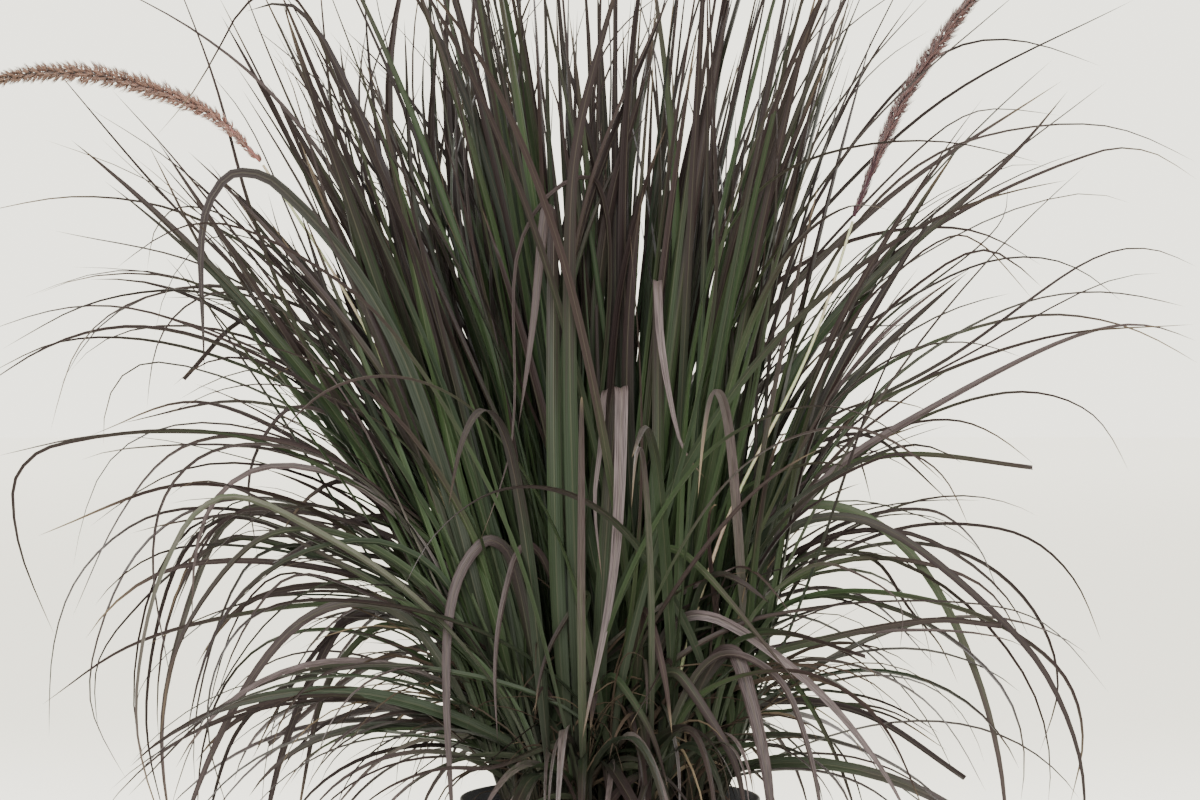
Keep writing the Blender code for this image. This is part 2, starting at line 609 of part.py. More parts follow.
def leaf_tree(rings, tip, grow=0.0):
    """A leaf from its first ring to its tip, as a tree of faces; grow makes it fatter all round. Each
    side is split both ways, because a twisted side is hollow one way and full the other."""
    points = []
    for ring in rings:
        middle = (ring[0] + ring[1] + ring[2]) / 3
        points.extend(corner + (corner - middle).normalized() * grow * 2 for corner in ring)
    points.append(tip)
    faces = []
    for first in range(0, len(points) - 4, 3):
        for side in range(3):
            following = (side + 1) % 3
            a, b = first + side, first + following
            faces.extend(((a, b, b + 3), (a, b + 3, a + 3), (a, b, a + 3), (b, b + 3, a + 3)))
    last = len(points) - 1
    faces.extend((last - 3 + side, last - 3 + (side + 1) % 3, last) for side in range(3))
    return BVHTree.FromPolygons(points, faces)


class Clump:
    """The shoots, and what is known of where everything stands, so that no leaf runs into another."""

    def __init__(self, places, obstacles):
        self.chance = random.Random(SEED)
        self.shoots = [Shoot(index, place, self.chance) for index, place in enumerate(places)]
        self.obstacles = list(obstacles)
        self.culms = [shoot.hull() for shoot in self.shoots]
        self.placed = []
        self.free = [slot for shoot in self.shoots for slot in shoot.slots]

    def fits(self, slot, rings, tip):
        """Whether the leaf keeps clear of the pot, the stems, the culms and the leaves placed so far."""
        if min(corner.z for ring in rings for corner in ring) < LOWEST_TIP or tip.z < LOWEST_TIP:
            return False
        base = self.base_ring(slot)
        whole = leaf_tree([base] + rings, tip, CLEARANCE)
        if any(tree.overlap(whole) for tree in self.obstacles):
            return False
        if any(tree.overlap(whole) for index, tree in enumerate(self.culms) if index != slot.shoot):
            return False
        beyond = leaf_tree([self.parting_ring(base, rings[0])] + rings, tip, CLEARANCE)
        for shoot, tree, free_tree in self.placed:
            if shoot == slot.shoot and free_tree.overlap(beyond):
                return False
            if shoot != slot.shoot and tree.overlap(whole):
                return False
        return True

    def parting_ring(self, base, first):
        """Where a leaf has parted from its neighbours on the same culm."""
        return tuple(low.lerp(high, PARTING_SHARE) for low, high in zip(base, first))

    def base_ring(self, slot):
        """The three corners of a culm's top that a leaf grows from."""
        ring = self.shoots[slot.shoot].ring(1)
        return tuple(ring[(2 * slot.corner + step) % len(ring)] for step in range(3))

    def place(self, slot, rings, tip):
        """Keep a leaf."""
        base = self.base_ring(slot)
        self.shoots[slot.shoot].leaves[slot.corner] = (rings, tip)
        parting = self.parting_ring(base, rings[0])
        self.placed.append((slot.shoot, leaf_tree([base] + rings, tip), leaf_tree([parting] + rings, tip)))
        self.free.remove(slot)

    def best_slots(self, foot, heading):
        """The free slots, best first, for a leaf that should rise near a point and head in a direction."""
        def cost(slot):
            away = (slot.middle.xy - foot).length
            turned_away = 1 - slot.outward.xy.normalized().dot(heading)
            return away + SIDEWAYS_COSTS * turned_away
        return sorted(self.free, key=cost)[:SLOTS_TRIED]

    def foot_of(self, blade):
        """Where on the crown an outlined leaf should rise."""
        share = self.chance.uniform(-BACK_AND_FRONT, BACK_AND_FRONT)
        if blade.depth is not None:
            share = FRONT_CROWN
        widest = WIDEST_FOOT * CROWN_RADIUS
        across = max(-widest, min(widest, blade.points[0][0] * MM * ACROSS_TO_CROWN))
        return Vector((across, share * CROWN_RADIUS))

    def add_outlined(self, blade):
        """Grow the leaf that shows this outline from in front."""
        chance = self.chance
        last = blade.points[-1]
        foot = self.foot_of(blade)
        heading = Vector((last[0] * MM - foot.x, foot.y * 2)).normalized()
        full_width = max(blade.width * MM, MATURE_WIDTH if blade.width > WISP_OUTLINE else WISP_WIDTH)
        room = depth_room(last[0] * MM, last[1] * MM)
        for slot in self.best_slots(foot, heading):
            usual = slot.middle.y / CROWN_RADIUS * room * chance.uniform(*DEPTH_SPREAD)
            usual = usual if blade.depth is None else blade.depth * MM
            for shift in SHIFTS:
                curve = self.outlined_curve(blade, slot, usual + shift)
                turn = 1 if blade.depth is not None or chance.random() < 0.5 else -1
                side_of = seen_width_side(blade.width * MM, full_width, turn)
                rings, tip = leaf_rings(curve, slot, full_width, blade.cut, side_of)
                if self.fits(slot, rings, tip):
                    self.place(slot, rings, tip)
                    return True
        return False

    def outlined_curve(self, blade, slot, depth):
        """The leaf's middle line, from its slot through the outline's points, at a growing depth."""
        start = slot.middle
        flat = [Vector((across, above)) for across, above in blade.points]
        reach = [flat[0].length]
        for before, after in zip(flat, flat[1:]):
            reach.append(reach[-1] + (after - before).length)
        points = [start]
        for spot, far in zip(flat, reach):
            share = (far / reach[-1]) ** DEPTH_POWER
            points.append(from_in_front(spot.x, spot.y, start.y + (depth - start.y) * share))
        return smooth_curve(points, slot.upward + slot.outward * OUTWARD_START)

    def add_habit_leaf(self, slot):
        """Grow a leaf that isn't outlined, by the plant's habit: steep in the middle, arching outside."""
        chance = self.chance
        crown = self.shoots[slot.shoot].place
        share = crown.length / CROWN_RADIUS
        out = math.atan2(crown.y, crown.x)
        corner = math.atan2(slot.outward.y, slot.outward.x)
        apart = math.remainder(corner - out, 2 * math.pi)
        least, outside, spread = FIRST_LEAN
        for _ in range(HABIT_TRIES):
            heading = out + apart * chance.uniform(*HEADING_SPREAD)
            length = chance.uniform(*HABIT_LENGTHS) + MIDDLE_EXTRA * (1 - share)
            first = math.radians(least + outside * share + chance.uniform(0, spread))
            bend = math.radians(chance.uniform(*BEND_ANYWHERE) + share * chance.uniform(*BEND_OUTSIDE))
            curve = self.habit_curve(slot, heading, length, first, bend)
            full_width = chance.uniform(*HABIT_WIDTHS)
            direction = Vector((math.cos(heading), math.sin(heading), 0))
            side_of = twisting_side(direction, chance.uniform(-HABIT_TWIST, HABIT_TWIST))
            rings, tip = leaf_rings(curve, slot, full_width, False, side_of)
            reach = max(point.xy.length for point in curve)
            if reach < MOST_REACH and self.fits(slot, rings, tip):
                self.place(slot, rings, tip)
                return True
        return False

    def habit_curve(self, slot, heading, length, first, bend):
        """An arch that leans out more and more along its length."""
        direction = Vector((math.cos(heading), math.sin(heading), 0))
        droop = self.chance.uniform(*DROOP_POWERS)
        point = slot.middle.copy()
        curve = [point.copy()]
        for step in range(HABIT_STEPS):
            t = (step + 0.5) / HABIT_STEPS
            lean = first + bend * t ** droop
            along = direction * math.sin(lean) + Vector((0, 0, math.cos(lean)))
            if t < UPRIGHT_SHARE:
                along = slot.upward.lerp(along, t / UPRIGHT_SHARE).normalized()
            point = point + along * length / HABIT_STEPS
            curve.append(point.copy())
        return curve


def grow(bm, face, rings, tip):
    """Draw a face out through ring after ring of corners, and close it in a point."""
    corners = list(face.verts)
    for ring in rings:
        before = [corner.co.copy() for corner in corners]
        face = bmesh.ops.extrude_discrete_faces(bm, faces=[face])["faces"][0]
        fresh = list(face.verts)
        corners = [min(fresh, key=lambda vert: (vert.co - spot).length) for spot in before]
        for corner, spot in zip(corners, ring):
            corner.co = spot
    bmesh.ops.poke(bm, faces=[face])["verts"][0].co = tip


def split_outwards(bm):
    """Split each four-sided face along the diagonal that stands out, so that a twisted leaf stays full."""
    bmesh.ops.recalc_face_normals(bm, faces=bm.faces)
    if bm.calc_volume(signed=True) < 0:
        bmesh.ops.reverse_faces(bm, faces=bm.faces)
    for face in [face for face in bm.faces if len(face.verts) == 4]:
        a, b, c, d = face.verts
        stands_out = (b.co - a.co).cross(c.co - a.co).dot(d.co - a.co) < 0
        ends = (a, c) if stands_out else (b, d)
        bmesh.utils.face_split(face, *ends)
    bmesh.ops.triangulate(bm, faces=bm.faces)


def shoot_mesh(shoot):
    """One shoot: a culm with a leaf drawn out of each corner of its top that has one."""
    bm = bmesh.new()
    sides = 2 * LEAVES_A_SHOOT
    bmesh.ops.create_cone(
        bm, cap_ends=True, segments=sides, radius1=CULM_RADIUS, radius2=CULM_RADIUS, depth=shoot.length
    )
    levels = []
    for low in (True, False):
        verts = [vert for vert in bm.verts if (vert.co.z < 0) == low]
        verts.sort(key=lambda vert: math.atan2(vert.co.y, vert.co.x))
        levels.append(verts)
    for level, verts in enumerate(levels):
        for vert, spot in zip(verts, shoot.ring(level)):
            vert.co = spot
    ring = levels[1]
    top = next(face for face in bm.faces if len(face.verts) == sides and ring[0] in face.verts)
    corners = {}
    for corner in range(LEAVES_A_SHOOT):
        trio = [ring[(2 * corner + step) % sides] for step in range(3)]
        part, loop = bmesh.utils.face_split(top, trio[0], trio[2])
        piece, top = (part, top) if len(part.verts) == 3 and trio[1] in part.verts else (top, part)
        corners[corner] = (piece, trio)
    for corner, (rings, tip) in shoot.leaves.items():
        face, trio = corners[corner]
        order = [trio.index(vert) for vert in face.verts]
        grow(bm, face, [[ring[place] for place in order] for ring in rings], tip)
    split_outwards(bm)
    mesh = bpy.data.meshes.new(f"shoot_{shoot.index + 1:02d}")
    bm.to_mesh(mesh)
    bm.free()
    return mesh


def flower_line(outline, depth):
    """Points in space on a flower's line, as seen from in front."""
    return [from_in_front(across, above, depth) for across, above in outline]


def make_stem(name, place, outline, depth, material, collection):
    """A flower stem: a thin round tube from the potting mix to the foot of its plume."""
    foot = Vector((place.x, place.y, mix_height(place.length) + 2 * GAP))
    points = [foot] + flower_line(outline, depth)
    curve = smooth_curve(points, Vector((place.x * 2, place.y * 2, 1)))
    line = [foot] + [spot for spot, share in stations(curve, STEM_STEPS)]
    data = bpy.data.curves.new(name, "CURVE")
    data.dimensions = "3D"
    data.bevel_depth = STEM_RADIUS
    data.bevel_resolution = 1
    data.use_fill_caps = True
    spline = data.splines.new("POLY")
    spline.points.add(len(line) - 1)
    for point, spot in zip(spline.points, line):
        point.co = (*spot, 1)
    return add_object(name, data, material, collection)


def make_plume(name, outline, half_widths, depth, material, collection):
    """A plume: a spindle of overlapping tiers that reaches the tips of its bristles."""
    points = flower_line(outline, depth)
    curve = smooth_curve(points, points[1] - points[0])
    line = [(points[0], 0.0)] + evenly(curve, 2 * PLUME_TIERS)
    spots = [spot for spot, share in line]
    side = Vector((0, 1, 0))
    bm = bmesh.new()
    bmesh.ops.create_circle(bm, cap_ends=True, segments=PLUME_SIDES, radius=1)
    bm.verts.ensure_lookup_table()
    face = next(iter(bm.faces))
    order = sorted(face.verts, key=lambda vert: math.atan2(vert.co.y, vert.co.x))

    def ring_at(spot, along, radius, twist):
        across = along.cross(side).normalized()
        ring = []
        for step in range(PLUME_SIDES):
            angle = 2 * math.pi * step / PLUME_SIDES + twist
            arm = across * math.cos(angle) + across.cross(along) * math.sin(angle)
            ring.append(spot + arm * radius * (1.0 if step % 2 else TIER_WAIST))
        return ring

    rings = []
    for index, (spot, share) in enumerate(line[:-1]):
        along = (spots[index + 1] - spots[max(0, index - 1)]).normalized()
        place = share * (len(half_widths) - 1)
        low = min(int(place), len(half_widths) - 2)
        width = half_widths[low] + (half_widths[low + 1] - half_widths[low]) * (place - low)
        radius = width * MM * (TIER_WAIST if index % 2 == 0 else 1.0)
        rings.append(ring_at(spot, along, radius, TIER_TWIST * index))
    for vert, spot in zip(order, rings[0]):
        vert.co = spot
    places = [order.index(vert) for vert in face.verts]
    grow(bm, face, [[ring[place] for place in places] for ring in rings[1:]], spots[-1])
    bmesh.ops.holes_fill(bm, edges=bm.edges)
    split_outwards(bm)
    mesh = bpy.data.meshes.new(name)
    bm.to_mesh(mesh)
    bm.free()
    return add_object(name, mesh, material, collection)


def tree_of(item):
    """The finished surface of an object, as a tree of faces."""
    graph = bpy.context.evaluated_depsgraph_get()
    mesh = bpy.data.meshes.new_from_object(item.evaluated_get(graph), depsgraph=graph)
    tree = BVHTree.FromPolygons([vert.co for vert in mesh.vertices], [face.vertices for face in mesh.polygons])
    bpy.data.meshes.remove(mesh)
    return tree


def make_flowers(places, materials, collection):
    """Both flower stems with their plumes, on the crown places that suit them best."""
    stem_green, plume_tan = materials
    flowers = []
    for side, wanted, stem, plume, half_widths, depth in (
        ("left", LEFT_FOOT, LEFT_STEM, LEFT_PLUME, LEFT_PLUME_HALF_WIDTHS, LEFT_FLOWER_DEPTH),
        ("right", RIGHT_FOOT, RIGHT_STEM, RIGHT_PLUME, RIGHT_PLUME_HALF_WIDTHS, RIGHT_FLOWER_DEPTH),
    ):
        place = min(places, key=lambda spot: (spot - wanted).length)
        places.remove(place)
        far = depth * MM
        flowers.append(make_stem(f"flower_stem_{side}", place, stem, far, stem_green, collection))
        flowers.append(make_plume(f"plume_{side}", plume, half_widths, far, plume_tan, collection))
    return flowers


def make_grass(places, obstacles, material, collection):
    """All the shoots, with their leaves placed one after another: the front, then the widest first."""
    clump = Clump(places, obstacles)
    others = sorted(LEFT_BLADES + RIGHT_BLADES + TOP_BLADES, key=lambda blade: -blade.width)
    for blade in FRONT_BLADES + tuple(others):
        any(clump.add_outlined(blade) for _ in range(OUTLINE_TRIES))
    for slot in list(clump.free):
        clump.add_habit_leaf(slot)
    for shoot in clump.shoots:
        mesh = shoot_mesh(shoot)
        add_object(mesh.name, mesh, material, collection)
    return clump


def main():
    """Build the whole plant in its pot."""
    clear_scene()
    clump = new_collection("potted_ornamental_grass_clump")
    pot = make_pot(new_material("moulded_plastic", POT_BLACK), clump)
    mix = make_mix(new_material("potting_mix", MIX_BROWN), clump)
    places = [crown_place(index) for index in range(PLACES)]
    flower_materials = (new_material("flower_stem", STEM_GREEN), new_material("plume_bristle", PLUME_TAN))
    flowers = make_flowers(places, flower_materials, clump)
    bpy.context.view_layer.update()
    obstacles = [tree_of(item) for item in [pot, mix] + flowers]
    make_grass(places, obstacles, new_material("grass_blade", BLADE_BURGUNDY), clump)


main()
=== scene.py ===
"""Looks of the potted ornamental grass clump: leaves, plumes, potting mix, pot and a plain studio.

Every leaf of the frame's shoots is read back as a line with a width and a lie, and is built again as a
thin folded blade. Between those lines grow the many other blades that make the clump dense.
Lengths are in metres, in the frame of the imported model: Z up, the front of the clump towards -Y.
"""

import logging
import math
import random
from collections.abc import Callable
from dataclasses import dataclass, field, replace
from enum import Enum
from typing import NamedTuple

import bpy
import numpy as np
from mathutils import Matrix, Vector


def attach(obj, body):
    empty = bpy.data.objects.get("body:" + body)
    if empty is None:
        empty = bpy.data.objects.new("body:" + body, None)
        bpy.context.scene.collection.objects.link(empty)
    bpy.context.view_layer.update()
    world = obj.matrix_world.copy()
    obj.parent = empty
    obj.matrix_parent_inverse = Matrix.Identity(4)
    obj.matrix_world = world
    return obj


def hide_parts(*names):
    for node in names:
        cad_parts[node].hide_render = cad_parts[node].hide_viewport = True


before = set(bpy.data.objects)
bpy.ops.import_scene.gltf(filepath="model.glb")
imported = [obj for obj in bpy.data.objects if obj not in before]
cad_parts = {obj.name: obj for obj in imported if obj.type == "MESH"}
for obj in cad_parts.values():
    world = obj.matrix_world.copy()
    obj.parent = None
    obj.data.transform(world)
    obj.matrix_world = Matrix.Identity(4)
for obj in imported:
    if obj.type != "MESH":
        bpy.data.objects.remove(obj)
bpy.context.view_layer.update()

LOG = logging.getLogger("potted_grass")
UP = np.array((0.0, 0.0, 1.0))
SEED = 11

Colour = tuple[float, float, float]
Place = tuple[float, float, float]
Face = tuple[int, ...]
Drawing = Callable[[], np.ndarray]
Socket = bpy.types.NodeSocket
Tree = bpy.types.NodeTree


class Span(NamedTuple):
    """The least and the most of a value that is drawn by chance."""

    low: float
    high: float

    def draw(self, chance: random.Random | np.random.Generator) -> float:
        """One value from the span."""
        return chance.uniform(self.low, self.high)


# Lines in space


def unit(vectors: np.ndarray) -> np.ndarray:
    """The vector, or each row of vectors, at length one."""
    return vectors / np.maximum(np.linalg.norm(vectors, axis=-1, keepdims=True), 1e-9)


def soft_ramp(value: np.ndarray | float) -> np.ndarray:
    """A soft ramp from 0 to 1 for values from 0 to 1."""
    held = np.clip(value, 0.0, 1.0)
    return held * held * (3 - 2 * held)


def reach_along(points: np.ndarray) -> np.ndarray:
    """How far along a line each of its points is."""
    return np.concatenate(([0.0], np.cumsum(np.linalg.norm(np.diff(points[:, :3], axis=0), axis=1))))


def curve_through(points: np.ndarray, steps: int = 8) -> np.ndarray:
    """A smooth curve through points.

    Args:
        points: The points that the curve passes, one a row.
        steps: How many points of the curve lie in each span.

    Returns:
        The curve's points, from the first to the last.
    """
    spans = np.maximum(np.linalg.norm(np.diff(points, axis=0), axis=1), 1e-6)
    knots = np.concatenate(([0.0], np.cumsum(np.sqrt(spans))))
    gaps = np.diff(knots)[:, None]
    slopes = np.diff(points, axis=0) / gaps
    inner = (slopes[:-1] * gaps[1:] + slopes[1:] * gaps[:-1]) / (gaps[1:] + gaps[:-1])
    tangents = np.concatenate((slopes[:1], inner, slopes[-1:]))
    t = np.linspace(0, 1, steps, endpoint=False)[None, :, None]
    start, end = points[:-1, None], points[1:, None]
    leave, arrive = tangents[:-1, None] * gaps[:, None], tangents[1:, None] * gaps[:, None]
    curve = (start * (1 + 2 * t) * (1 - t) ** 2 + end * t * t * (3 - 2 * t)
             + leave * t * (1 - t) ** 2 - arrive * t * t * (1 - t))
    return np.concatenate((curve.reshape(-1, 3), points[-1:]))


def softened(points: np.ndarray, rounds: int) -> np.ndarray:
    """A line with its kinks rounded off; its ends stay.

    Args:
        points: The line's points, evenly apart.
        rounds: How many times each point is drawn towards its neighbours.

    Returns:
        The rounded line.
    """
    for _ in range(rounds):
        middle = points[1:-1] * 0.5 + (points[:-2] + points[2:]) * 0.25
        points = np.concatenate((points[:1], middle, points[-1:]))
    return points


def spread_evenly(rows: np.ndarray, count: int, until: float = 1.0, at_bends: float = 0.0) -> np.ndarray:
    """Samples of a line at even lengths, closer together at its bends if asked.

    Args:
        rows: The line's points, with any other values of each point after its place.
        count: How many samples to return.
        until: The share of the line's length to keep.
        at_bends: The length that a turn of one radian counts for.

    Returns:
        The samples, from the first point on.
    """
    reach = reach_along(rows)
    kept = max(4, int(np.searchsorted(reach, reach[-1] * until)) + 1)
    rows, reach = rows[:kept], reach[:kept]
    headings = unit(np.diff(rows[:, :3], axis=0))
    turns = np.arccos(np.clip(np.sum(headings[1:] * headings[:-1], axis=1), -1, 1))
    measure = reach + at_bends * np.concatenate(([0.0], np.cumsum(turns), [turns.sum()]))
    wanted = np.linspace(0, measure[-1], count)
    return np.stack([np.interp(wanted, measure, column) for column in rows.T], axis=1)


# What the frame gives


class Ring(NamedTuple):
    """A leaf's cross-section in the frame: its middle, its width and the way its keel points."""

    middle: np.ndarray
    width: float
    keel: np.ndarray


class NodeMesh:
    """A CAD node's mesh with its split corners joined again, to be walked from point to point."""

    def __init__(self, name: str) -> None:
        """Join the corners and note what is next to what.

        Args:
            name: The CAD node to read.
        """
        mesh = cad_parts[name].data
        places: dict[tuple[int, ...], int] = {}
        self.points: list[np.ndarray] = []
        joined = []
        for vertex in mesh.vertices:
            key = tuple(round(value * 1e6) for value in vertex.co)
            if key not in places:
                places[key] = len(self.points)
                self.points.append(np.array(vertex.co))
            joined.append(places[key])
        self.next_to: list[set[int]] = [set() for _ in self.points]
        for edge in mesh.edges:
            one, other = (joined[index] for index in edge.vertices)
            if one != other:
                self.next_to[one].add(other)
                self.next_to[other].add(one)

    def layers(self, start: set[int], size: int) -> list[list[int]]:
        """Rings of points, one after another from a start, for as long as they have one size.

        Args:
            start: The points to set off from.
            size: How many points each ring has.

        Returns:
            The rings, nearest first, without the start.
        """
        seen, layer, found = set(start), set(start), []
        while True:
            layer = {other for point in layer for other in self.next_to[point]} - seen
            if len(layer) != size:
                return found
            seen |= layer
            found.append(sorted(layer))


class Lie(Enum):
    """How a leaf carries itself."""

    UPRIGHT = "upright"
    ARCHING = "arching"
    HANGING = "hanging"


@dataclass
class LeafLine:
    """A leaf read from the frame: points along it with the way its keel points at each, and its width."""

    rows: np.ndarray
    width: float
    cut: bool

    SAMPLES = 90
    FINE_STEPS = 24
    SOFTENING = 6
    CUT_BAND = 0.0025
    HANGING_FALL = 0.12
    HANGING_REACH = 0.26
    FRONT = -0.06
    ARCHING_FALL = 0.02
    ARCHING_REACH = 0.36

    @classmethod
    def from_rings(cls, rings: list[Ring], tip: np.ndarray) -> "LeafLine":
        """Make the line from the cross-sections of a frame leaf.

        Args:
            rings: The leaf's cross-sections, from the culm outwards.
            tip: The leaf's tip.

        Returns:
            The leaf's smooth line.
        """
        cut = float(np.linalg.norm(rings[-1].middle - tip)) < cls.CUT_BAND
        kept = rings[:-1] if cut else rings
        corners = np.array([ring.middle for ring in kept] + [tip])
        keels = np.array([ring.keel for ring in kept] + [rings[-1].keel])
        points = softened(spread_evenly(curve_through(corners, cls.FINE_STEPS), cls.SAMPLES), cls.SOFTENING)
        near, far = reach_along(corners), reach_along(points)
        spread = [np.interp(far / far[-1], near / near[-1], column) for column in keels.T]
        return cls(np.column_stack([points] + spread), max(ring.width for ring in rings[1:]), cut)

    @property
    def tip(self) -> np.ndarray:
        """Where the leaf ends."""
        return self.rows[-1, :3]

    @property
    def middle(self) -> np.ndarray:
        """The point halfway along the leaf."""
        return self.rows[self.SAMPLES // 2, :3]

    @property
    def lie(self) -> Lie:
        """How the leaf carries itself, from where its tip is."""
        fall = float(self.rows[:, 2].max() - self.tip[2])
        out = float(np.hypot(self.tip[0], self.tip[1]))
        if fall > self.HANGING_FALL and out < self.HANGING_REACH and self.tip[1] < self.FRONT:
            return Lie.HANGING
        if fall > self.ARCHING_FALL or out > self.ARCHING_REACH:
            return Lie.ARCHING
        return Lie.UPRIGHT


class ShootReader:
    """Reads the leaves of one shoot of the frame."""

    FOOT_RADIUS = 0.100
    FOOT_BOTTOM = 0.19
    FOOT_TOP = 0.206
    LEAF_SIDES = 3
    LEAST_RINGS = 4

    def __init__(self, name: str) -> None:
        """Join the shoot's mesh up and read its leaves.

        Args:
            name: The shoot's CAD node.
        """
        self.name = name
        self.mesh = NodeMesh(name)
        self.foot = np.mean([point for point in self.mesh.points if self._is_foot(point)], axis=0)
        self.leaves = self._leaves()

    @property
    def out(self) -> float:
        """How far the shoot stands from the middle of the pot."""
        return float(np.hypot(self.foot[0], self.foot[1]))

    def _is_foot(self, point: np.ndarray) -> bool:
        """Whether a point is on the culm's lower end, just above the potting mix."""
        out = np.hypot(point[0], point[1])
        return bool(out < self.FOOT_RADIUS and self.FOOT_BOTTOM < point[2] < self.FOOT_TOP)

    def _leaves(self) -> list[LeafLine]:
        """The leaves that grow from this shoot, each found from its tip."""
        found = []
        for index, neighbours in enumerate(self.mesh.next_to):
            if len(neighbours) != self.LEAF_SIDES or self._is_foot(self.mesh.points[index]):
                continue
            layers = self.mesh.layers({index}, self.LEAF_SIDES)
            if len(layers) >= self.LEAST_RINGS:
                rings = [self._ring(layer) for layer in reversed(layers)]
                found.append(LeafLine.from_rings(rings, self.mesh.points[index]))
        return found

    def _ring(self, corners: list[int]) -> Ring:
        """A cross-section from its three corners: the keel is the one across from the longest side.

        Args:
            corners: The places of its corners in the mesh.

        Returns:
            Its middle, its width and the way its keel points.
        """
        points = [self.mesh.points[corner] for corner in corners]
        sides = [float(np.linalg.norm(points[(k + 1) % 3] - points[(k + 2) % 3])) for k in range(3)]
        keel = sides.index(max(sides))
        middle = (points[(keel + 1) % 3] + points[(keel + 2) % 3]) / 2
        return Ring(middle, max(sides), unit(points[keel] - middle))


# Meshes


@dataclass
class Body:
    """A closed body to add to a piece: points, faces as a flat list of corners, and the corners' values."""

    points: np.ndarray
    corners: np.ndarray
    sizes: np.ndarray
    lies: np.ndarray
    ages: np.ndarray
    creases: np.ndarray


class PieceMesh:
    """Gathers closed bodies into one mesh, with the values that the finishes read on its corners."""

    def __init__(self) -> None:
        """Start with nothing."""
        self.bodies: list[Body] = []

    def add(self, body: Body) -> None:
        """Take a body in."""
        self.bodies.append(body)

    def finished(self, name: str, material: bpy.types.Material) -> bpy.types.Object:
        """Make the object.

        Args:
            name: The piece's name.
            material: What it is made of.

        Returns:
            The object, linked to the scene.
        """
        starts = np.concatenate(([0], np.cumsum([len(body.points) for body in self.bodies])))
        points = np.concatenate([body.points for body in self.bodies])
        corners = np.concatenate([body.corners + start for body, start in zip(self.bodies, starts)])
        sizes = np.concatenate([body.sizes for body in self.bodies])
        mesh = bpy.data.meshes.new(name)
        mesh.vertices.add(len(points))
        mesh.vertices.foreach_set("co", points.astype(np.float32).ravel())
        mesh.loops.add(len(corners))
        mesh.loops.foreach_set("vertex_index", corners.astype(np.int32))
        mesh.polygons.add(len(sizes))
        mesh.polygons.foreach_set("loop_start", np.concatenate(([0], np.cumsum(sizes)[:-1])).astype(np.int32))
        mesh.update(calc_edges=True)
        mesh.polygons.foreach_set("use_smooth", np.ones(len(sizes), bool))
        for label in ("lies", "ages"):
            layer = mesh.color_attributes.new(f"blade_{label}", "FLOAT_COLOR", "CORNER")
            rows = np.concatenate([getattr(body, label) for body in self.bodies])
            values = np.column_stack((rows, np.ones(len(rows)))).astype(np.float32)
            layer.data.foreach_set("color", values.ravel())
        self._mark_creases(mesh, starts)
        mesh.materials.append(material)
        item = bpy.data.objects.new(name, mesh)
        bpy.context.scene.collection.objects.link(item)
        return item

    def _mark_creases(self, mesh: bpy.types.Mesh, starts: np.ndarray) -> None:
        """Keep the edges sharp that the bodies say are.

        Args:
            mesh: The mesh of all the bodies.
            starts: Where each body's points start in it.
        """
        pairs = [body.creases + start for body, start in zip(self.bodies, starts) if len(body.creases)]
        if not pairs:
            return
        total = len(mesh.vertices)
        wanted = np.sort(np.concatenate(pairs), axis=1) @ np.array((total, 1))
        edges = np.empty(len(mesh.edges) * 2, np.int32)
        mesh.edges.foreach_get("vertices", edges)
        found = np.sort(edges.reshape(-1, 2).astype(np.int64), axis=1) @ np.array((total, 1))
        sharp = mesh.attributes.new("sharp_edge", "BOOLEAN", "EDGE")
        sharp.data.foreach_set("value", np.isin(found, wanted))


class Weave(NamedTuple):
    """How the rings of a long body are joined: its corners, and which ring and which spot each belongs to."""

    corners: np.ndarray
    sizes: np.ndarray
    rings: np.ndarray
    spots: np.ndarray
    uppers: np.ndarray
    creases: np.ndarray


def side_faces(rings: int, sides: int) -> list[Face]:
    """The four-sided faces that join rings of points, one ring after another.

    Args:
        rings: How many rings there are.
        sides: How many points each ring has.

    Returns:
        The faces, ring by ring.
    """
    faces = []
    for start in range(0, (rings - 1) * sides, sides):
        for spot in range(sides):
            here, follow = start + spot, start + (spot + 1) % sides
            faces.append((here, follow, follow + sides, here + sides))
    return faces


def woven(rings: int, sides: int, pointed: bool, upper_sides: int, sharp_spots: tuple[int, ...]) -> Weave:
    """Join rings of points into a closed body.

    Args:
        rings: How many rings there are.
        sides: How many points each ring has.
        pointed: Whether one more point closes the far end; a flat cap does otherwise.
        upper_sides: How many sides of a ring, from the first, belong to its upper face.
        sharp_spots: The spots of the rings whose lengthwise edges stay sharp.

    Returns:
        The faces.
    """
    faces = side_faces(rings, sides)
    uppers = [spot < upper_sides for _ in range(rings - 1) for spot in range(sides) for _ in range(4)]
    end = (rings - 1) * sides
    if pointed:
        for spot in range(sides):
            faces.append((end + spot, end + (spot + 1) % sides, end + sides))
            uppers.extend([spot < upper_sides] * 3)
    else:
        faces.append(tuple(end + spot for spot in range(sides)))
        uppers.extend([True] * sides)
    faces.append(tuple(reversed(range(sides))))
    uppers.extend([True] * sides)
    corners = np.array([corner for face in faces for corner in face])
    spots = np.where(corners == end + sides, sides // 3, corners % sides)
    creases = [(ring * sides + spot, (ring + 1) * sides + spot)
               for ring in range(rings - 1) for spot in sharp_spots]
    return Weave(corners, np.array([len(face) for face in faces]), corners // sides, spots, np.array(uppers),
                 np.array(creases, dtype=np.int64).reshape(-1, 2))


def grown_body(points: np.ndarray, weave: Weave, lies: np.ndarray, ages: tuple[float, float, float]) -> Body:
    """A woven body whose ages are the same on every corner."""
    same = np.tile(ages, (len(weave.corners), 1))
    return Body(points, weave.corners, weave.sizes, lies, same, weave.creases)


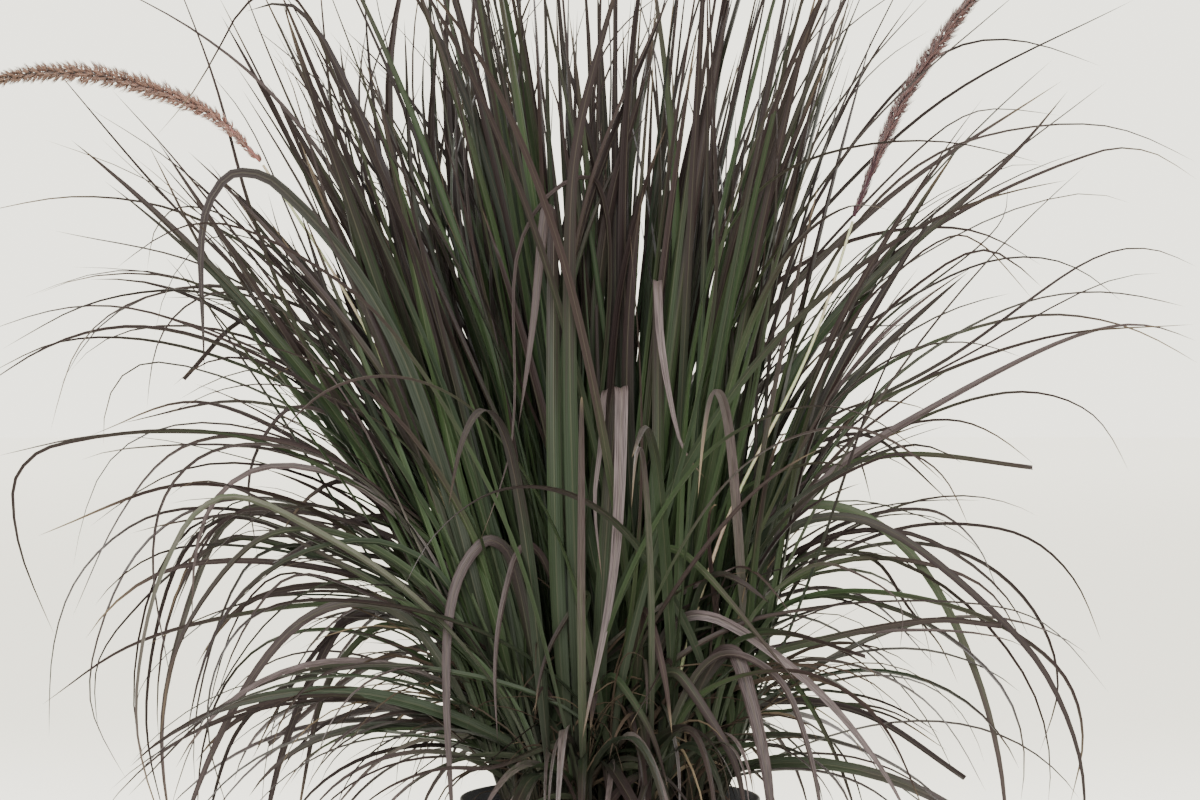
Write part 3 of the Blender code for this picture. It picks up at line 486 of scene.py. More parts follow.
def plain_body(points: np.ndarray, faces: list[Face]) -> Body:
    """A body whose finish needs no values on its corners.

    Args:
        points: Its points, one a row.
        faces: Its faces, as places in the points.

    Returns:
        The body.
    """
    corners = np.array([corner for face in faces for corner in face])
    blank = np.zeros((len(corners), 3))
    return Body(points, corners, np.array([len(face) for face in faces]), blank, blank,
                np.empty((0, 2), dtype=np.int64))


def tube(line: np.ndarray, radii: np.ndarray, sides: int, tone: float = 0.5) -> Body:
    """A round tube along a line.

    Args:
        line: The points along its middle.
        radii: Its radius at each.
        sides: How many sides it has.
        tone: The tone that its finish reads.

    Returns:
        The tube, closed at both ends.
    """
    along = unit(np.gradient(line, axis=0))
    slanted = unit(np.array((0.3, 1.0, 0.2)))
    side = unit(np.cross(along, slanted))
    other = np.cross(along, side)
    angles = np.linspace(0, 2 * math.pi, sides, endpoint=False)
    rings = np.stack([line + (side * math.cos(angle) + other * math.sin(angle)) * radii[:, None]
                      for angle in angles], axis=1)
    weave = woven(len(line), sides, False, sides, ())
    shares = weave.rings / (len(line) - 1)
    lies = np.column_stack((weave.spots / sides, shares, np.zeros(len(shares))))
    return grown_body(rings.reshape(-1, 3), weave, lies, (tone, 0.0, 0.0))


def stacked_body(rows: list[np.ndarray], low: float, high: float) -> Body:
    """A body of rings one above the other round the upright axis, closed to a middle point at both ends.

    Args:
        rows: The rings' points, all of one number, from the lowest round to the last.
        low: The height of the first middle point.
        high: The height of the last middle point.

    Returns:
        The closed body.
    """
    sides = len(rows[0])
    points = np.concatenate(rows + [np.array([(0.0, 0.0, low), (0.0, 0.0, high)])])
    faces = side_faces(len(rows), sides)
    first, final, last = len(points) - 2, len(points) - 1, (len(rows) - 1) * sides
    for spot in range(sides):
        follow = (spot + 1) % sides
        faces.append((follow, spot, first))
        faces.append((last + spot, last + follow, final))
    return plain_body(points, faces)


def level_ring(radius: float, height: float | np.ndarray, sides: int) -> np.ndarray:
    """The points of a circle round the upright axis."""
    angles = np.linspace(0, 2 * math.pi, sides, endpoint=False)
    return np.column_stack((np.cos(angles) * radius, np.sin(angles) * radius, np.zeros(sides) + height))


# Blades


class BladeKind(Enum):
    """What a blade is."""

    OUTLINED = "one that the frame holds"
    BETWEEN = "one that grows between two of those"
    FAN = "an upright one that leans out of its shoot"
    SKIRT = "a short one that hangs over the rim"
    DEAD = "a dead one at the foot"


@dataclass
class Blade:
    """One blade to be built: its line and keels, its width, its colours and its section.

    It turns burgundy at the share of its length in turning, and has its bloom from bloom_from on.
    """

    kind: BladeKind
    rows: np.ndarray
    width: float
    cut: bool = False
    tone: float = 0.5
    turning: float = 0.5
    dryness: float = 0.1
    bloom: float = 0.3
    bloom_from: float = -1.0
    fold: float = 0.36
    taper: float = 2.4


@dataclass
class BladeShape:
    """The shape of a blade: a thin strip folded along its midrib, sheathed at its foot, fine at its tip.

    What ends in share is a part of the blade's width, and what ends in at or run is a part of its length.
    """

    foot_share: float = 0.42
    widest_at: float = 0.24
    cut_at: float = 0.55
    cut_run: float = 0.45
    cut_loss: float = 0.3
    tip_power: float = 0.85
    least_width: float = 0.0003
    thickness: float = 0.00035
    thin_share: float = 0.3
    rib_share: float = 0.045
    rib_drop: float = 0.6
    arch_share: float = 0.05
    foot_fold: float = 1.15
    sheath_at: float = 0.04
    sheath_run: float = 0.16
    sheath_burgundy: float = 0.60
    turning_run: float = 0.60
    bloom_run: float = 0.05
    bloom_below: float = 0.4
    dry_foot: float = 0.4
    dry_foot_run: float = 0.06
    weaves: dict[tuple[int, bool], Weave] = field(default_factory=dict)

    ACROSS = np.array((0.0, 0.25, 0.5, 0.75, 1.0, 0.5))
    SIDES = 6
    UPPER_SIDES = 4
    SHARP_SPOTS = (0, 2, 4)

    def build(self, blade: Blade) -> Body:
        """Build a blade's closed body.

        Args:
            blade: The blade to build.

        Returns:
            The body.
        """
        points = blade.rows[:, :3]
        reach = reach_along(points)
        share = reach / reach[-1]
        along = unit(np.gradient(points, axis=0))
        upper = -unit(blade.rows[:, 3:])
        upper = unit(upper - along * np.sum(upper * along, axis=1, keepdims=True))
        side = np.cross(along, upper)
        widths = self._widths(share, blade)[:, None]
        folded = 1 - soft_ramp(share / self.sheath_run)
        fold = (blade.fold + (self.foot_fold - blade.fold) * folded)[:, None]
        out, rise = side * widths / 2 * np.cos(fold), upper * widths / 2 * np.sin(fold)
        arch = upper * widths * self.arch_share
        rib = points - rise * self.rib_drop
        under = rib - upper * (np.minimum(self.thickness, widths * self.thin_share) + widths * self.rib_share)
        spots = (rib + rise - out, rib + (rise - out) / 2 + arch, rib, rib + (rise + out) / 2 + arch,
                 rib + rise + out, under)
        body = np.stack(spots, axis=1).reshape(-1, 3)
        rings = len(points)
        if not blade.cut:
            rings -= 1
            body = np.concatenate((body[: rings * self.SIDES], points[-1:]))
        return self._closed(blade, body, rings, share)

    def _widths(self, share: np.ndarray, blade: Blade) -> np.ndarray:
        """The blade's width along its length.

        Args:
            share: The shares of its length.
            blade: The blade.

        Returns:
            The width at each share.
        """
        swell = self.foot_share + (1 - self.foot_share) * soft_ramp(share / self.widest_at)
        if blade.cut:
            return blade.width * swell * (1 - self.cut_loss * soft_ramp((share - self.cut_at) / self.cut_run))
        taper = np.clip(1 - share ** blade.taper, 0, 1) ** self.tip_power
        return np.maximum(blade.width * swell * taper, self.least_width)

    def _closed(self, blade: Blade, points: np.ndarray, rings: int, share: np.ndarray) -> Body:
        """Give the blade's points their faces, and the faces their colours.

        Args:
            blade: The blade.
            points: Its points, ring by ring.
            rings: How many rings it has.
            share: How far along the blade each ring is.

        Returns:
            The blade's body.
        """
        key = (rings, blade.cut)
        if key not in self.weaves:
            self.weaves[key] = woven(rings, self.SIDES, not blade.cut, self.UPPER_SIDES, self.SHARP_SPOTS)
        weave = self.weaves[key]
        bloomed = soft_ramp((share - blade.bloom_from) / self.bloom_run + 0.5)[weave.rings]
        bloom = np.where(weave.uppers, blade.bloom, blade.bloom * self.bloom_below) * bloomed
        lies = np.column_stack((self.ACROSS[weave.spots], share[weave.rings], bloom))
        sheath = self.sheath_burgundy * (1 - soft_ramp((share - self.sheath_at) / self.sheath_run))
        turned = soft_ramp((share - blade.turning) / self.turning_run + 0.5)
        burgundy = np.maximum(turned, sheath)[weave.rings]
        tones = np.full(len(burgundy), blade.tone)
        ages = np.column_stack((tones, burgundy, self._dry(blade, share)[weave.rings]))
        return Body(points, weave.corners, weave.sizes, lies, ages, weave.creases)

    def _dry(self, blade: Blade, share: np.ndarray) -> np.ndarray:
        """How dry the blade is along its length: all of a dead one, else its foot and its tip.

        Args:
            blade: The blade.
            share: The shares of its length.

        Returns:
            The dryness at each share, from 0 to 1.
        """
        if blade.kind is BladeKind.DEAD:
            return np.ones(len(share))
        foot = self.dry_foot * (1 - soft_ramp(share / self.dry_foot_run))
        if blade.cut or blade.dryness == 0:
            return foot
        return np.maximum(foot, soft_ramp((share - 1 + blade.dryness) / blade.dryness))


# Shader building


def added(tree: Tree, kind: str, **settings: object) -> bpy.types.Node:
    """Add a node and set its properties.

    Args:
        tree: The node tree to add to.
        kind: The node's type.
        settings: Properties to set on it.

    Returns:
        The new node.
    """
    node = tree.nodes.new(kind)
    for name, value in settings.items():
        setattr(node, name, value)
    return node


def fed(tree: Tree, target: Socket, value: object) -> None:
    """Give an input a number, a colour or a link.

    Args:
        tree: The node tree.
        target: The input.
        value: A number, a colour as three numbers, or a socket to link.
    """
    if isinstance(value, (int, float)):
        target.default_value = value
    elif isinstance(value, tuple):
        target.default_value = (*value, 1.0)
    else:
        tree.links.new(value, target)


def math_on(tree: Tree, operation: str, one: object, other: object = 0.0, clamp: bool = False) -> Socket:
    """Add a math node to a tree.

    Args:
        tree: The node tree.
        operation: The math node's operation.
        one: Its first socket or number.
        other: Its second socket or number.
        clamp: Whether the result is held from 0 to 1.

    Returns:
        The result's socket.
    """
    node = added(tree, "ShaderNodeMath", operation=operation, use_clamp=clamp)
    fed(tree, node.inputs[0], one)
    fed(tree, node.inputs[1], other)
    return node.outputs[0]


def mixed(tree: Tree, share: object, one: object, other: object) -> Socket:
    """Add a colour mix to a tree.

    Args:
        tree: The node tree.
        share: How much of the second colour there is, a socket or a number.
        one: The first colour, a socket or three numbers.
        other: The second colour, a socket or three numbers.

    Returns:
        The mixed colour's socket.
    """
    node = added(tree, "ShaderNodeMix", data_type="RGBA")
    fed(tree, node.inputs[0], share)
    fed(tree, node.inputs[6], one)
    fed(tree, node.inputs[7], other)
    return node.outputs[2]


def ramped(tree: Tree, value: Socket, low: float, high: float) -> Socket:
    """A soft ramp from 0 to 1 as a value goes from low to high.

    Args:
        tree: The node tree.
        value: The value.
        low: Where the ramp starts.
        high: Where it ends.

    Returns:
        The ramp's output.
    """
    node = added(tree, "ShaderNodeMapRange", interpolation_type="SMOOTHSTEP", clamp=True)
    tree.links.new(value, node.inputs["Value"])
    node.inputs["From Min"].default_value = low
    node.inputs["From Max"].default_value = high
    return node.outputs["Result"]


def noise_on(tree: Tree, vector: Socket, scale: object, detail: float = 2.0) -> Socket:
    """Noise over a vector.

    Args:
        tree: The node tree.
        vector: The vector's socket.
        scale: How fine the noise is, a socket or a number.
        detail: How much finer noise is laid over it.

    Returns:
        The noise, about 0.3 to 0.7.
    """
    node = added(tree, "ShaderNodeTexNoise")
    node.inputs["Detail"].default_value = detail
    fed(tree, node.inputs["Scale"], scale)
    tree.links.new(vector, node.inputs["Vector"])
    return node.outputs["Fac"]


class GroupBuilder:
    """One shader node group with named inputs and outputs."""

    def __init__(self, name: str, inputs: dict[str, float], outputs: tuple[str, ...]) -> None:
        """Make the group's sockets.

        Args:
            name: The group's name.
            inputs: Each input's usual value.
            outputs: The outputs' names.
        """
        self.tree = bpy.data.node_groups.new(name, "ShaderNodeTree")
        for label, value in inputs.items():
            socket = self.tree.interface.new_socket(label, in_out="INPUT", socket_type="NodeSocketFloat")
            socket.default_value = value
        for label in outputs:
            self.tree.interface.new_socket(label, in_out="OUTPUT", socket_type="NodeSocketFloat")
        self.inputs = self.tree.nodes.new("NodeGroupInput").outputs
        self.outputs = self.tree.nodes.new("NodeGroupOutput").inputs

    def math(self, operation: str, one: object, other: object = 0.0) -> Socket:
        """Add a math node to the group."""
        return math_on(self.tree, operation, one, other)

    def give(self, label: str, value: Socket) -> None:
        """Send a value out of the group."""
        self.tree.links.new(value, self.outputs[label])


def veins_group() -> Tree:
    """The fine parallel veins and the midrib of a grass blade, from how far across it a point is."""
    shift, vein_height, rib_half, rib_edge = 17.0, 0.35, 0.015, 0.085
    inputs = {"Across": 0.5, "Veins": 7.0, "Tone": 0.5}
    group = GroupBuilder("parallel_veins", inputs, ("Vein", "Midrib", "Height"))
    across = group.inputs["Across"]
    turns = group.math("MULTIPLY", group.math("MULTIPLY", across, group.inputs["Veins"]), 2 * math.pi)
    uneven = group.math("ADD", turns, group.math("MULTIPLY", group.inputs["Tone"], shift))
    wave = group.math("ADD", group.math("MULTIPLY", group.math("SINE", uneven), 0.5), 0.5)
    off = group.math("ABSOLUTE", group.math("SUBTRACT", across, 0.5))
    rib = group.math("SUBTRACT", 1.0, ramped(group.tree, off, rib_half, rib_edge))
    group.give("Vein", wave)
    group.give("Midrib", rib)
    group.give("Height", group.math("ADD", group.math("MULTIPLY", wave, vein_height), rib))
    return group.tree


def streaks_group() -> Tree:
    """Streaks and blotches drawn out along a blade, a little different on each."""
    wide, apart, streak_scale, blotch_scale, blotch_detail = 3.0, 91.0, 1.6, 5.5, 4.0
    inputs = {"Across": 0.5, "Along": 0.5, "Tone": 0.5, "Stretch": 5.0}
    group = GroupBuilder("growth_streaks", inputs, ("Streak", "Blotch"))
    place = group.tree.nodes.new("ShaderNodeCombineXYZ")
    group.tree.links.new(group.math("MULTIPLY", group.inputs["Across"], wide), place.inputs[0])
    along = group.math("MULTIPLY", group.inputs["Along"], group.inputs["Stretch"])
    group.tree.links.new(along, place.inputs[1])
    group.tree.links.new(group.math("MULTIPLY", group.inputs["Tone"], apart), place.inputs[2])
    group.give("Streak", noise_on(group.tree, place.outputs[0], streak_scale))
    group.give("Blotch", noise_on(group.tree, place.outputs[0], blotch_scale, blotch_detail))
    return group.tree


def specks_group() -> Tree:
    """Dust in broad patches and fine specks, over the place on the object."""
    dust_scale, dust_detail, dust_range, speck_range = 14.0, 5.0, (0.42, 0.72), (0.45, 0.65)
    group = GroupBuilder("dust_and_specks", {"Fineness": 300.0, "Amount": 0.5}, ("Dust", "Speck"))
    place = group.tree.nodes.new("ShaderNodeTexCoord").outputs["Object"]
    broad = ramped(group.tree, noise_on(group.tree, place, dust_scale, dust_detail), *dust_range)
    group.give("Dust", group.math("MULTIPLY", broad, group.inputs["Amount"]))
    fine = noise_on(group.tree, place, group.inputs["Fineness"])
    group.give("Speck", ramped(group.tree, fine, *speck_range))
    return group.tree


class Groups:
    """The shader node groups that the finishes share, each built once."""

    def __init__(self) -> None:
        """Build the groups."""
        self.veins = veins_group()
        self.streaks = streaks_group()
        self.specks = specks_group()


class FinishBuilder:
    """A material in the making, with its Principled shader and ways to feed it."""

    def __init__(self, name: str) -> None:
        """Start a material.

        Args:
            name: The material's name.
        """
        self.material = bpy.data.materials.new(name)
        self.material.use_nodes = True
        self.tree = self.material.node_tree
        self.shader = self.tree.nodes["Principled BSDF"]

    def group(self, group: Tree, **values: object) -> bpy.types.Node:
        """Place a node group.

        Args:
            group: The node group.
            values: A socket to link, or a number, for each input by name.

        Returns:
            The group's node.
        """
        node = added(self.tree, "ShaderNodeGroup")
        node.node_tree = group
        for label, value in values.items():
            fed(self.tree, node.inputs[label], value)
        return node

    def growth(self, name: str) -> tuple[Socket, Socket, Socket]:
        """The three values of one of the corner attributes.

        Args:
            name: The attribute's name.

        Returns:
            The outputs that give them.
        """
        source = added(self.tree, "ShaderNodeAttribute", attribute_name=name)
        parts = self.tree.nodes.new("ShaderNodeSeparateColor")
        self.tree.links.new(source.outputs["Color"], parts.inputs[0])
        return tuple(parts.outputs)

    def math(self, operation: str, one: object, other: object = 0.0, clamp: bool = False) -> Socket:
        """Add a math node to the material."""
        return math_on(self.tree, operation, one, other, clamp)

    def mix(self, share: object, one: object, other: object) -> Socket:
        """Add a colour mix to the material."""
        return mixed(self.tree, share, one, other)

    def paint(self, colour: Socket, roughness: Socket, gloss: float) -> None:
        """Give the surface its colour, roughness and gloss.

        Args:
            colour: The colour's socket.
            roughness: The roughness's socket.
            gloss: How strongly it mirrors, as the shader's specular level.
        """
        self.tree.links.new(colour, self.shader.inputs["Base Color"])
        self.tree.links.new(roughness, self.shader.inputs["Roughness"])
        self.shader.inputs["Specular IOR Level"].default_value = gloss

    def raise_by(self, height: Socket, strength: float, distance: float) -> None:
        """Give the surface relief.

        Args:
            height: How high it stands.
            strength: How much of that shows.
            distance: The depth of the relief in metres.
        """
        bump = self.tree.nodes.new("ShaderNodeBump")
        bump.inputs["Strength"].default_value = strength
        bump.inputs["Distance"].default_value = distance
        self.tree.links.new(height, bump.inputs["Height"])
        self.tree.links.new(bump.outputs["Normal"], self.shader.inputs["Normal"])


# Finishes


@dataclass(frozen=True)
class GrassFinish:
    """The finish of the leaves: green below, burgundy above, a mauve bloom on the upper side, dry tips, and
    painted shade towards the foot.
    """

    name: str = "grass_leaf"
    deep_green: Colour = (0.0058, 0.0101, 0.0047)
    fresh_green: Colour = (0.0170, 0.0294, 0.0098)
    dark_burgundy: Colour = (0.0073, 0.0043, 0.0043)
    brown_burgundy: Colour = (0.0150, 0.0091, 0.0083)
    mauve: Colour = (0.080, 0.062, 0.062)
    dull_straw: Colour = (0.018, 0.012, 0.008)
    pale_straw: Colour = (0.100, 0.076, 0.048)
    midrib: Colour = (0.090, 0.082, 0.054)
    # The colour of the painted shade at the blades' feet.
    shaded_foot: Colour = (0.0078, 0.0078, 0.0056)
    vein_shadow: Colour = (0.0, 0.0, 0.0)
    veins: float = 7.0
    stretch: float = 5.0
    wander: float = 0.9
    turned_range: Span = Span(0.10, 0.95)
    bloom_range: Span = Span(0.25, 0.70)
    midrib_share: float = 0.16
    vein_share: float = 0.30
    dry_lift: float = 0.45
    # How strong the painted shade at the blades' feet is, and over which part of their length it fades out.
    foot_shade: float = 0.6
    foot_shade_range: Span = Span(0.06, 0.50)
    roughness: float = 0.40
    unevenness: float = 0.25
    dry_roughness: float = 0.25
    gloss: float = 0.10
    relief: float = 0.0004
    relief_strength: float = 0.5

    def make(self, groups: Groups) -> bpy.types.Material:
        """Build the material.

        Args:
            groups: The shared node groups.

        Returns:
            The leaf's material.
        """
        work = FinishBuilder(self.name)
        across, along, bloom = work.growth("blade_lies")
        tone, burgundy, dry = work.growth("blade_ages")
        veins = work.group(groups.veins, Across=across, Veins=self.veins, Tone=tone).outputs
        streaks = work.group(
            groups.streaks, Across=across, Along=along, Tone=tone, Stretch=self.stretch,
        ).outputs
        wander = work.math("MULTIPLY", work.math("SUBTRACT", streaks["Streak"], 0.5), self.wander)
        turned = ramped(work.tree, work.math("ADD", burgundy, wander, clamp=True), *self.turned_range)
        green = work.mix(tone, self.deep_green, self.fresh_green)
        red = work.mix(tone, self.dark_burgundy, self.brown_burgundy)
        leaf = work.mix(turned, green, red)
        patches = ramped(work.tree, streaks["Blotch"], *self.bloom_range)
        leaf = work.mix(work.math("MULTIPLY", bloom, patches, clamp=True), leaf, self.mauve)
        leaf = work.mix(work.math("MULTIPLY", veins["Midrib"], self.midrib_share), leaf, self.midrib)
        leaf = work.mix(work.math("MULTIPLY", veins["Vein"], self.vein_share), leaf, self.vein_shadow)
        dried = work.math("MULTIPLY", dry, work.math("ADD", streaks["Blotch"], self.dry_lift), clamp=True)
        leaf = work.mix(dried, leaf, work.mix(tone, self.dull_straw, self.pale_straw))
        # Painted shade: each blade darkens towards its foot, down to the shaded foot colour.
        unshaded = work.math("MULTIPLY", ramped(work.tree, along, *self.foot_shade_range), self.foot_shade)
        leaf = work.mix(work.math("SUBTRACT", self.foot_shade, unshaded), leaf, self.shaded_foot)
        rough = work.math("ADD", work.math("MULTIPLY", streaks["Blotch"], self.unevenness), self.roughness)
        rough = work.math("ADD", rough, work.math("MULTIPLY", dry, self.dry_roughness), clamp=True)
        work.paint(leaf, rough, self.gloss)
        work.raise_by(veins["Height"], self.relief_strength, self.relief)
        return work.material


@dataclass(frozen=True)
class PlumeFinish:
    """The finish of a plume's bristles, from its foot to its tip and out to the bristles' ends."""

    name: str
    foot: Colour
    middle: Colour
    tip: Colour
    ends: Colour
    seeds: Colour
    middle_range: Span = Span(0.0, 0.45)
    tip_range: Span = Span(0.40, 1.0)
    ends_share: float = 0.7
    seeds_share: float = 0.8
    tone_depth: float = 0.8
    least_bright: float = 0.6
    stretch: float = 9.0
    roughness: float = 0.6
    unevenness: float = 0.3
    gloss: float = 0.1
    sheen: float = 0.1

    def make(self, groups: Groups) -> bpy.types.Material:
        """Build the material.

        Args:
            groups: The shared node groups.

        Returns:
            The plume's material.
        """
        work = FinishBuilder(self.name)
        _, along, outward = work.growth("blade_lies")
        tone, seed, _ = work.growth("blade_ages")
        body = work.mix(ramped(work.tree, along, *self.middle_range), self.foot, self.middle)
        body = work.mix(ramped(work.tree, along, *self.tip_range), body, self.tip)
        body = work.mix(work.math("MULTIPLY", outward, self.ends_share), body, self.ends)
        body = work.mix(work.math("MULTIPLY", seed, self.seeds_share), body, self.seeds)
        bright = work.tree.nodes.new("ShaderNodeHueSaturation")
        value = work.math("ADD", work.math("MULTIPLY", tone, self.tone_depth), self.least_bright)
        fed(work.tree, bright.inputs["Value"], value)
        fed(work.tree, bright.inputs["Color"], body)
        streaks = work.group(
            groups.streaks, Across=tone, Along=along, Tone=tone, Stretch=self.stretch,
        ).outputs
        rough = work.math("ADD", work.math("MULTIPLY", streaks["Blotch"], self.unevenness), self.roughness)
        work.paint(bright.outputs["Color"], rough, self.gloss)
        work.shader.inputs["Sheen Weight"].default_value = self.sheen
        return work.material


@dataclass(frozen=True)
class SpeckledFinish:
    """A finish in two tones with dust and fine specks, for the pot, the potting mix and the stems."""

    name: str
    colour: Colour
    other: Colour
    dust: Colour
    roughness: float
    fineness: float
    dustiness: float
    relief: float
    gloss: float = 0.4
    dust_roughness: float = 0.35
    relief_strength: float = 0.4

    def make(self, groups: Groups) -> bpy.types.Material:
        """Build the material.

        Args:
            groups: The shared node groups.

        Returns:
            The material.
        """
        work = FinishBuilder(self.name)
        specks = work.group(groups.specks, Fineness=self.fineness, Amount=self.dustiness).outputs
        body = work.mix(specks["Dust"], work.mix(specks["Speck"], self.colour, self.other), self.dust)
        dusty = work.math("MULTIPLY", specks["Dust"], self.dust_roughness)
        work.paint(body, work.math("ADD", dusty, self.roughness, clamp=True), self.gloss)
        work.raise_by(specks["Speck"], self.relief_strength, self.relief)
        return work.material


POT_FINISH = SpeckledFinish(
    "moulded_black_plastic", (0.0035, 0.0035, 0.0040), (0.0055, 0.0055, 0.0060), (0.018, 0.016, 0.014),
    roughness=0.50, fineness=900.0, dustiness=0.30, relief=0.0002, gloss=0.04,
)
MIX_FINISH = SpeckledFinish(
    "dark_potting_mix", (0.022, 0.014, 0.009), (0.050, 0.032, 0.020), (0.090, 0.066, 0.046),
    roughness=0.90, fineness=420.0, dustiness=0.5, relief=0.0012, gloss=0.2,
)
STEM_FINISH = SpeckledFinish(
    "flower_stem_skin", (0.150, 0.170, 0.085), (0.200, 0.190, 0.110), (0.160, 0.080, 0.080),
    roughness=0.50, fineness=260.0, dustiness=0.8, relief=0.0002,
)
LEFT_PLUME_FINISH = PlumeFinish(
    "tan_rose_bristles", (0.112, 0.047, 0.040), (0.082, 0.042, 0.031), (0.049, 0.032, 0.019),
    (0.148, 0.087, 0.062), (0.038, 0.018, 0.013),
)
RIGHT_PLUME_FINISH = PlumeFinish(
    "purple_tan_bristles", (0.020, 0.005, 0.009), (0.030, 0.012, 0.012), (0.052, 0.028, 0.022),
    (0.085, 0.046, 0.040), (0.014, 0.005, 0.006),
)


def dressed(item: bpy.types.Object, slot: str, *nodes: str) -> bpy.types.Object:
    """Fasten a piece to the object's body and hide the CAD nodes that it replaces.

    Args:
        item: The piece.
        slot: Not used.
        nodes: The CAD nodes that it replaces.

    Returns:
        The piece.
    """
    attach(item, "root")
    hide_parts(*nodes)
    return item


# The clump's parts


@dataclass(frozen=True)
class Stray:
    """How a blade between two leaves strays from them: its bow and swing, its length, and its shape.

    The tip of one with a lift is tilted aside and lifted as well.
    """

    bow: float
    swing: float
    kept: Span
    taper: Span
    fold: Span = Span(0.15, 0.55)
    tilt: float = 0.0
    lift: Span | None = None


UPRIGHT_STRAY = Stray(0.022, 0.06, Span(0.62, 1.0), Span(2.8, 5.5), tilt=0.030, lift=Span(-0.03, 0.04))
ARCHING_STRAY = Stray(0.014, 0.12, Span(0.45, 1.0), Span(2.2, 3.8))


@dataclass(frozen=True)
class Habit:
    """How a free blade grows: its length, where it parts, its lean and bend in degrees, and its fold.

    Blades of a shoot that stands further out lean more, by the splay's degrees a metre.
    """

    length: Span
    start: Span
    lean: Span
    bend: Span
    fold: Span
    splay: float = 0.0
    more: Span | None = None


INNER_FAN = Habit(Span(0.56, 0.70), Span(0.03, 0.06), Span(1, 9), Span(2, 22), Span(0.2, 0.6), splay=110)
RIGHT_FAN = Habit(Span(0.42, 0.66), Span(0.03, 0.06), Span(1, 9), Span(5, 38), Span(0.2, 0.6), splay=110)
LEFT_FAN = replace(RIGHT_FAN, more=Span(0, 13))
SKIRT = Habit(Span(0.16, 0.38), Span(0.02, 0.05), Span(42, 74), Span(70, 115), Span(0.15, 0.5))
DEAD = Habit(Span(0.05, 0.27), Span(0.004, 0.05), Span(5, 45), Span(10, 150), Span(0.2, 0.9))


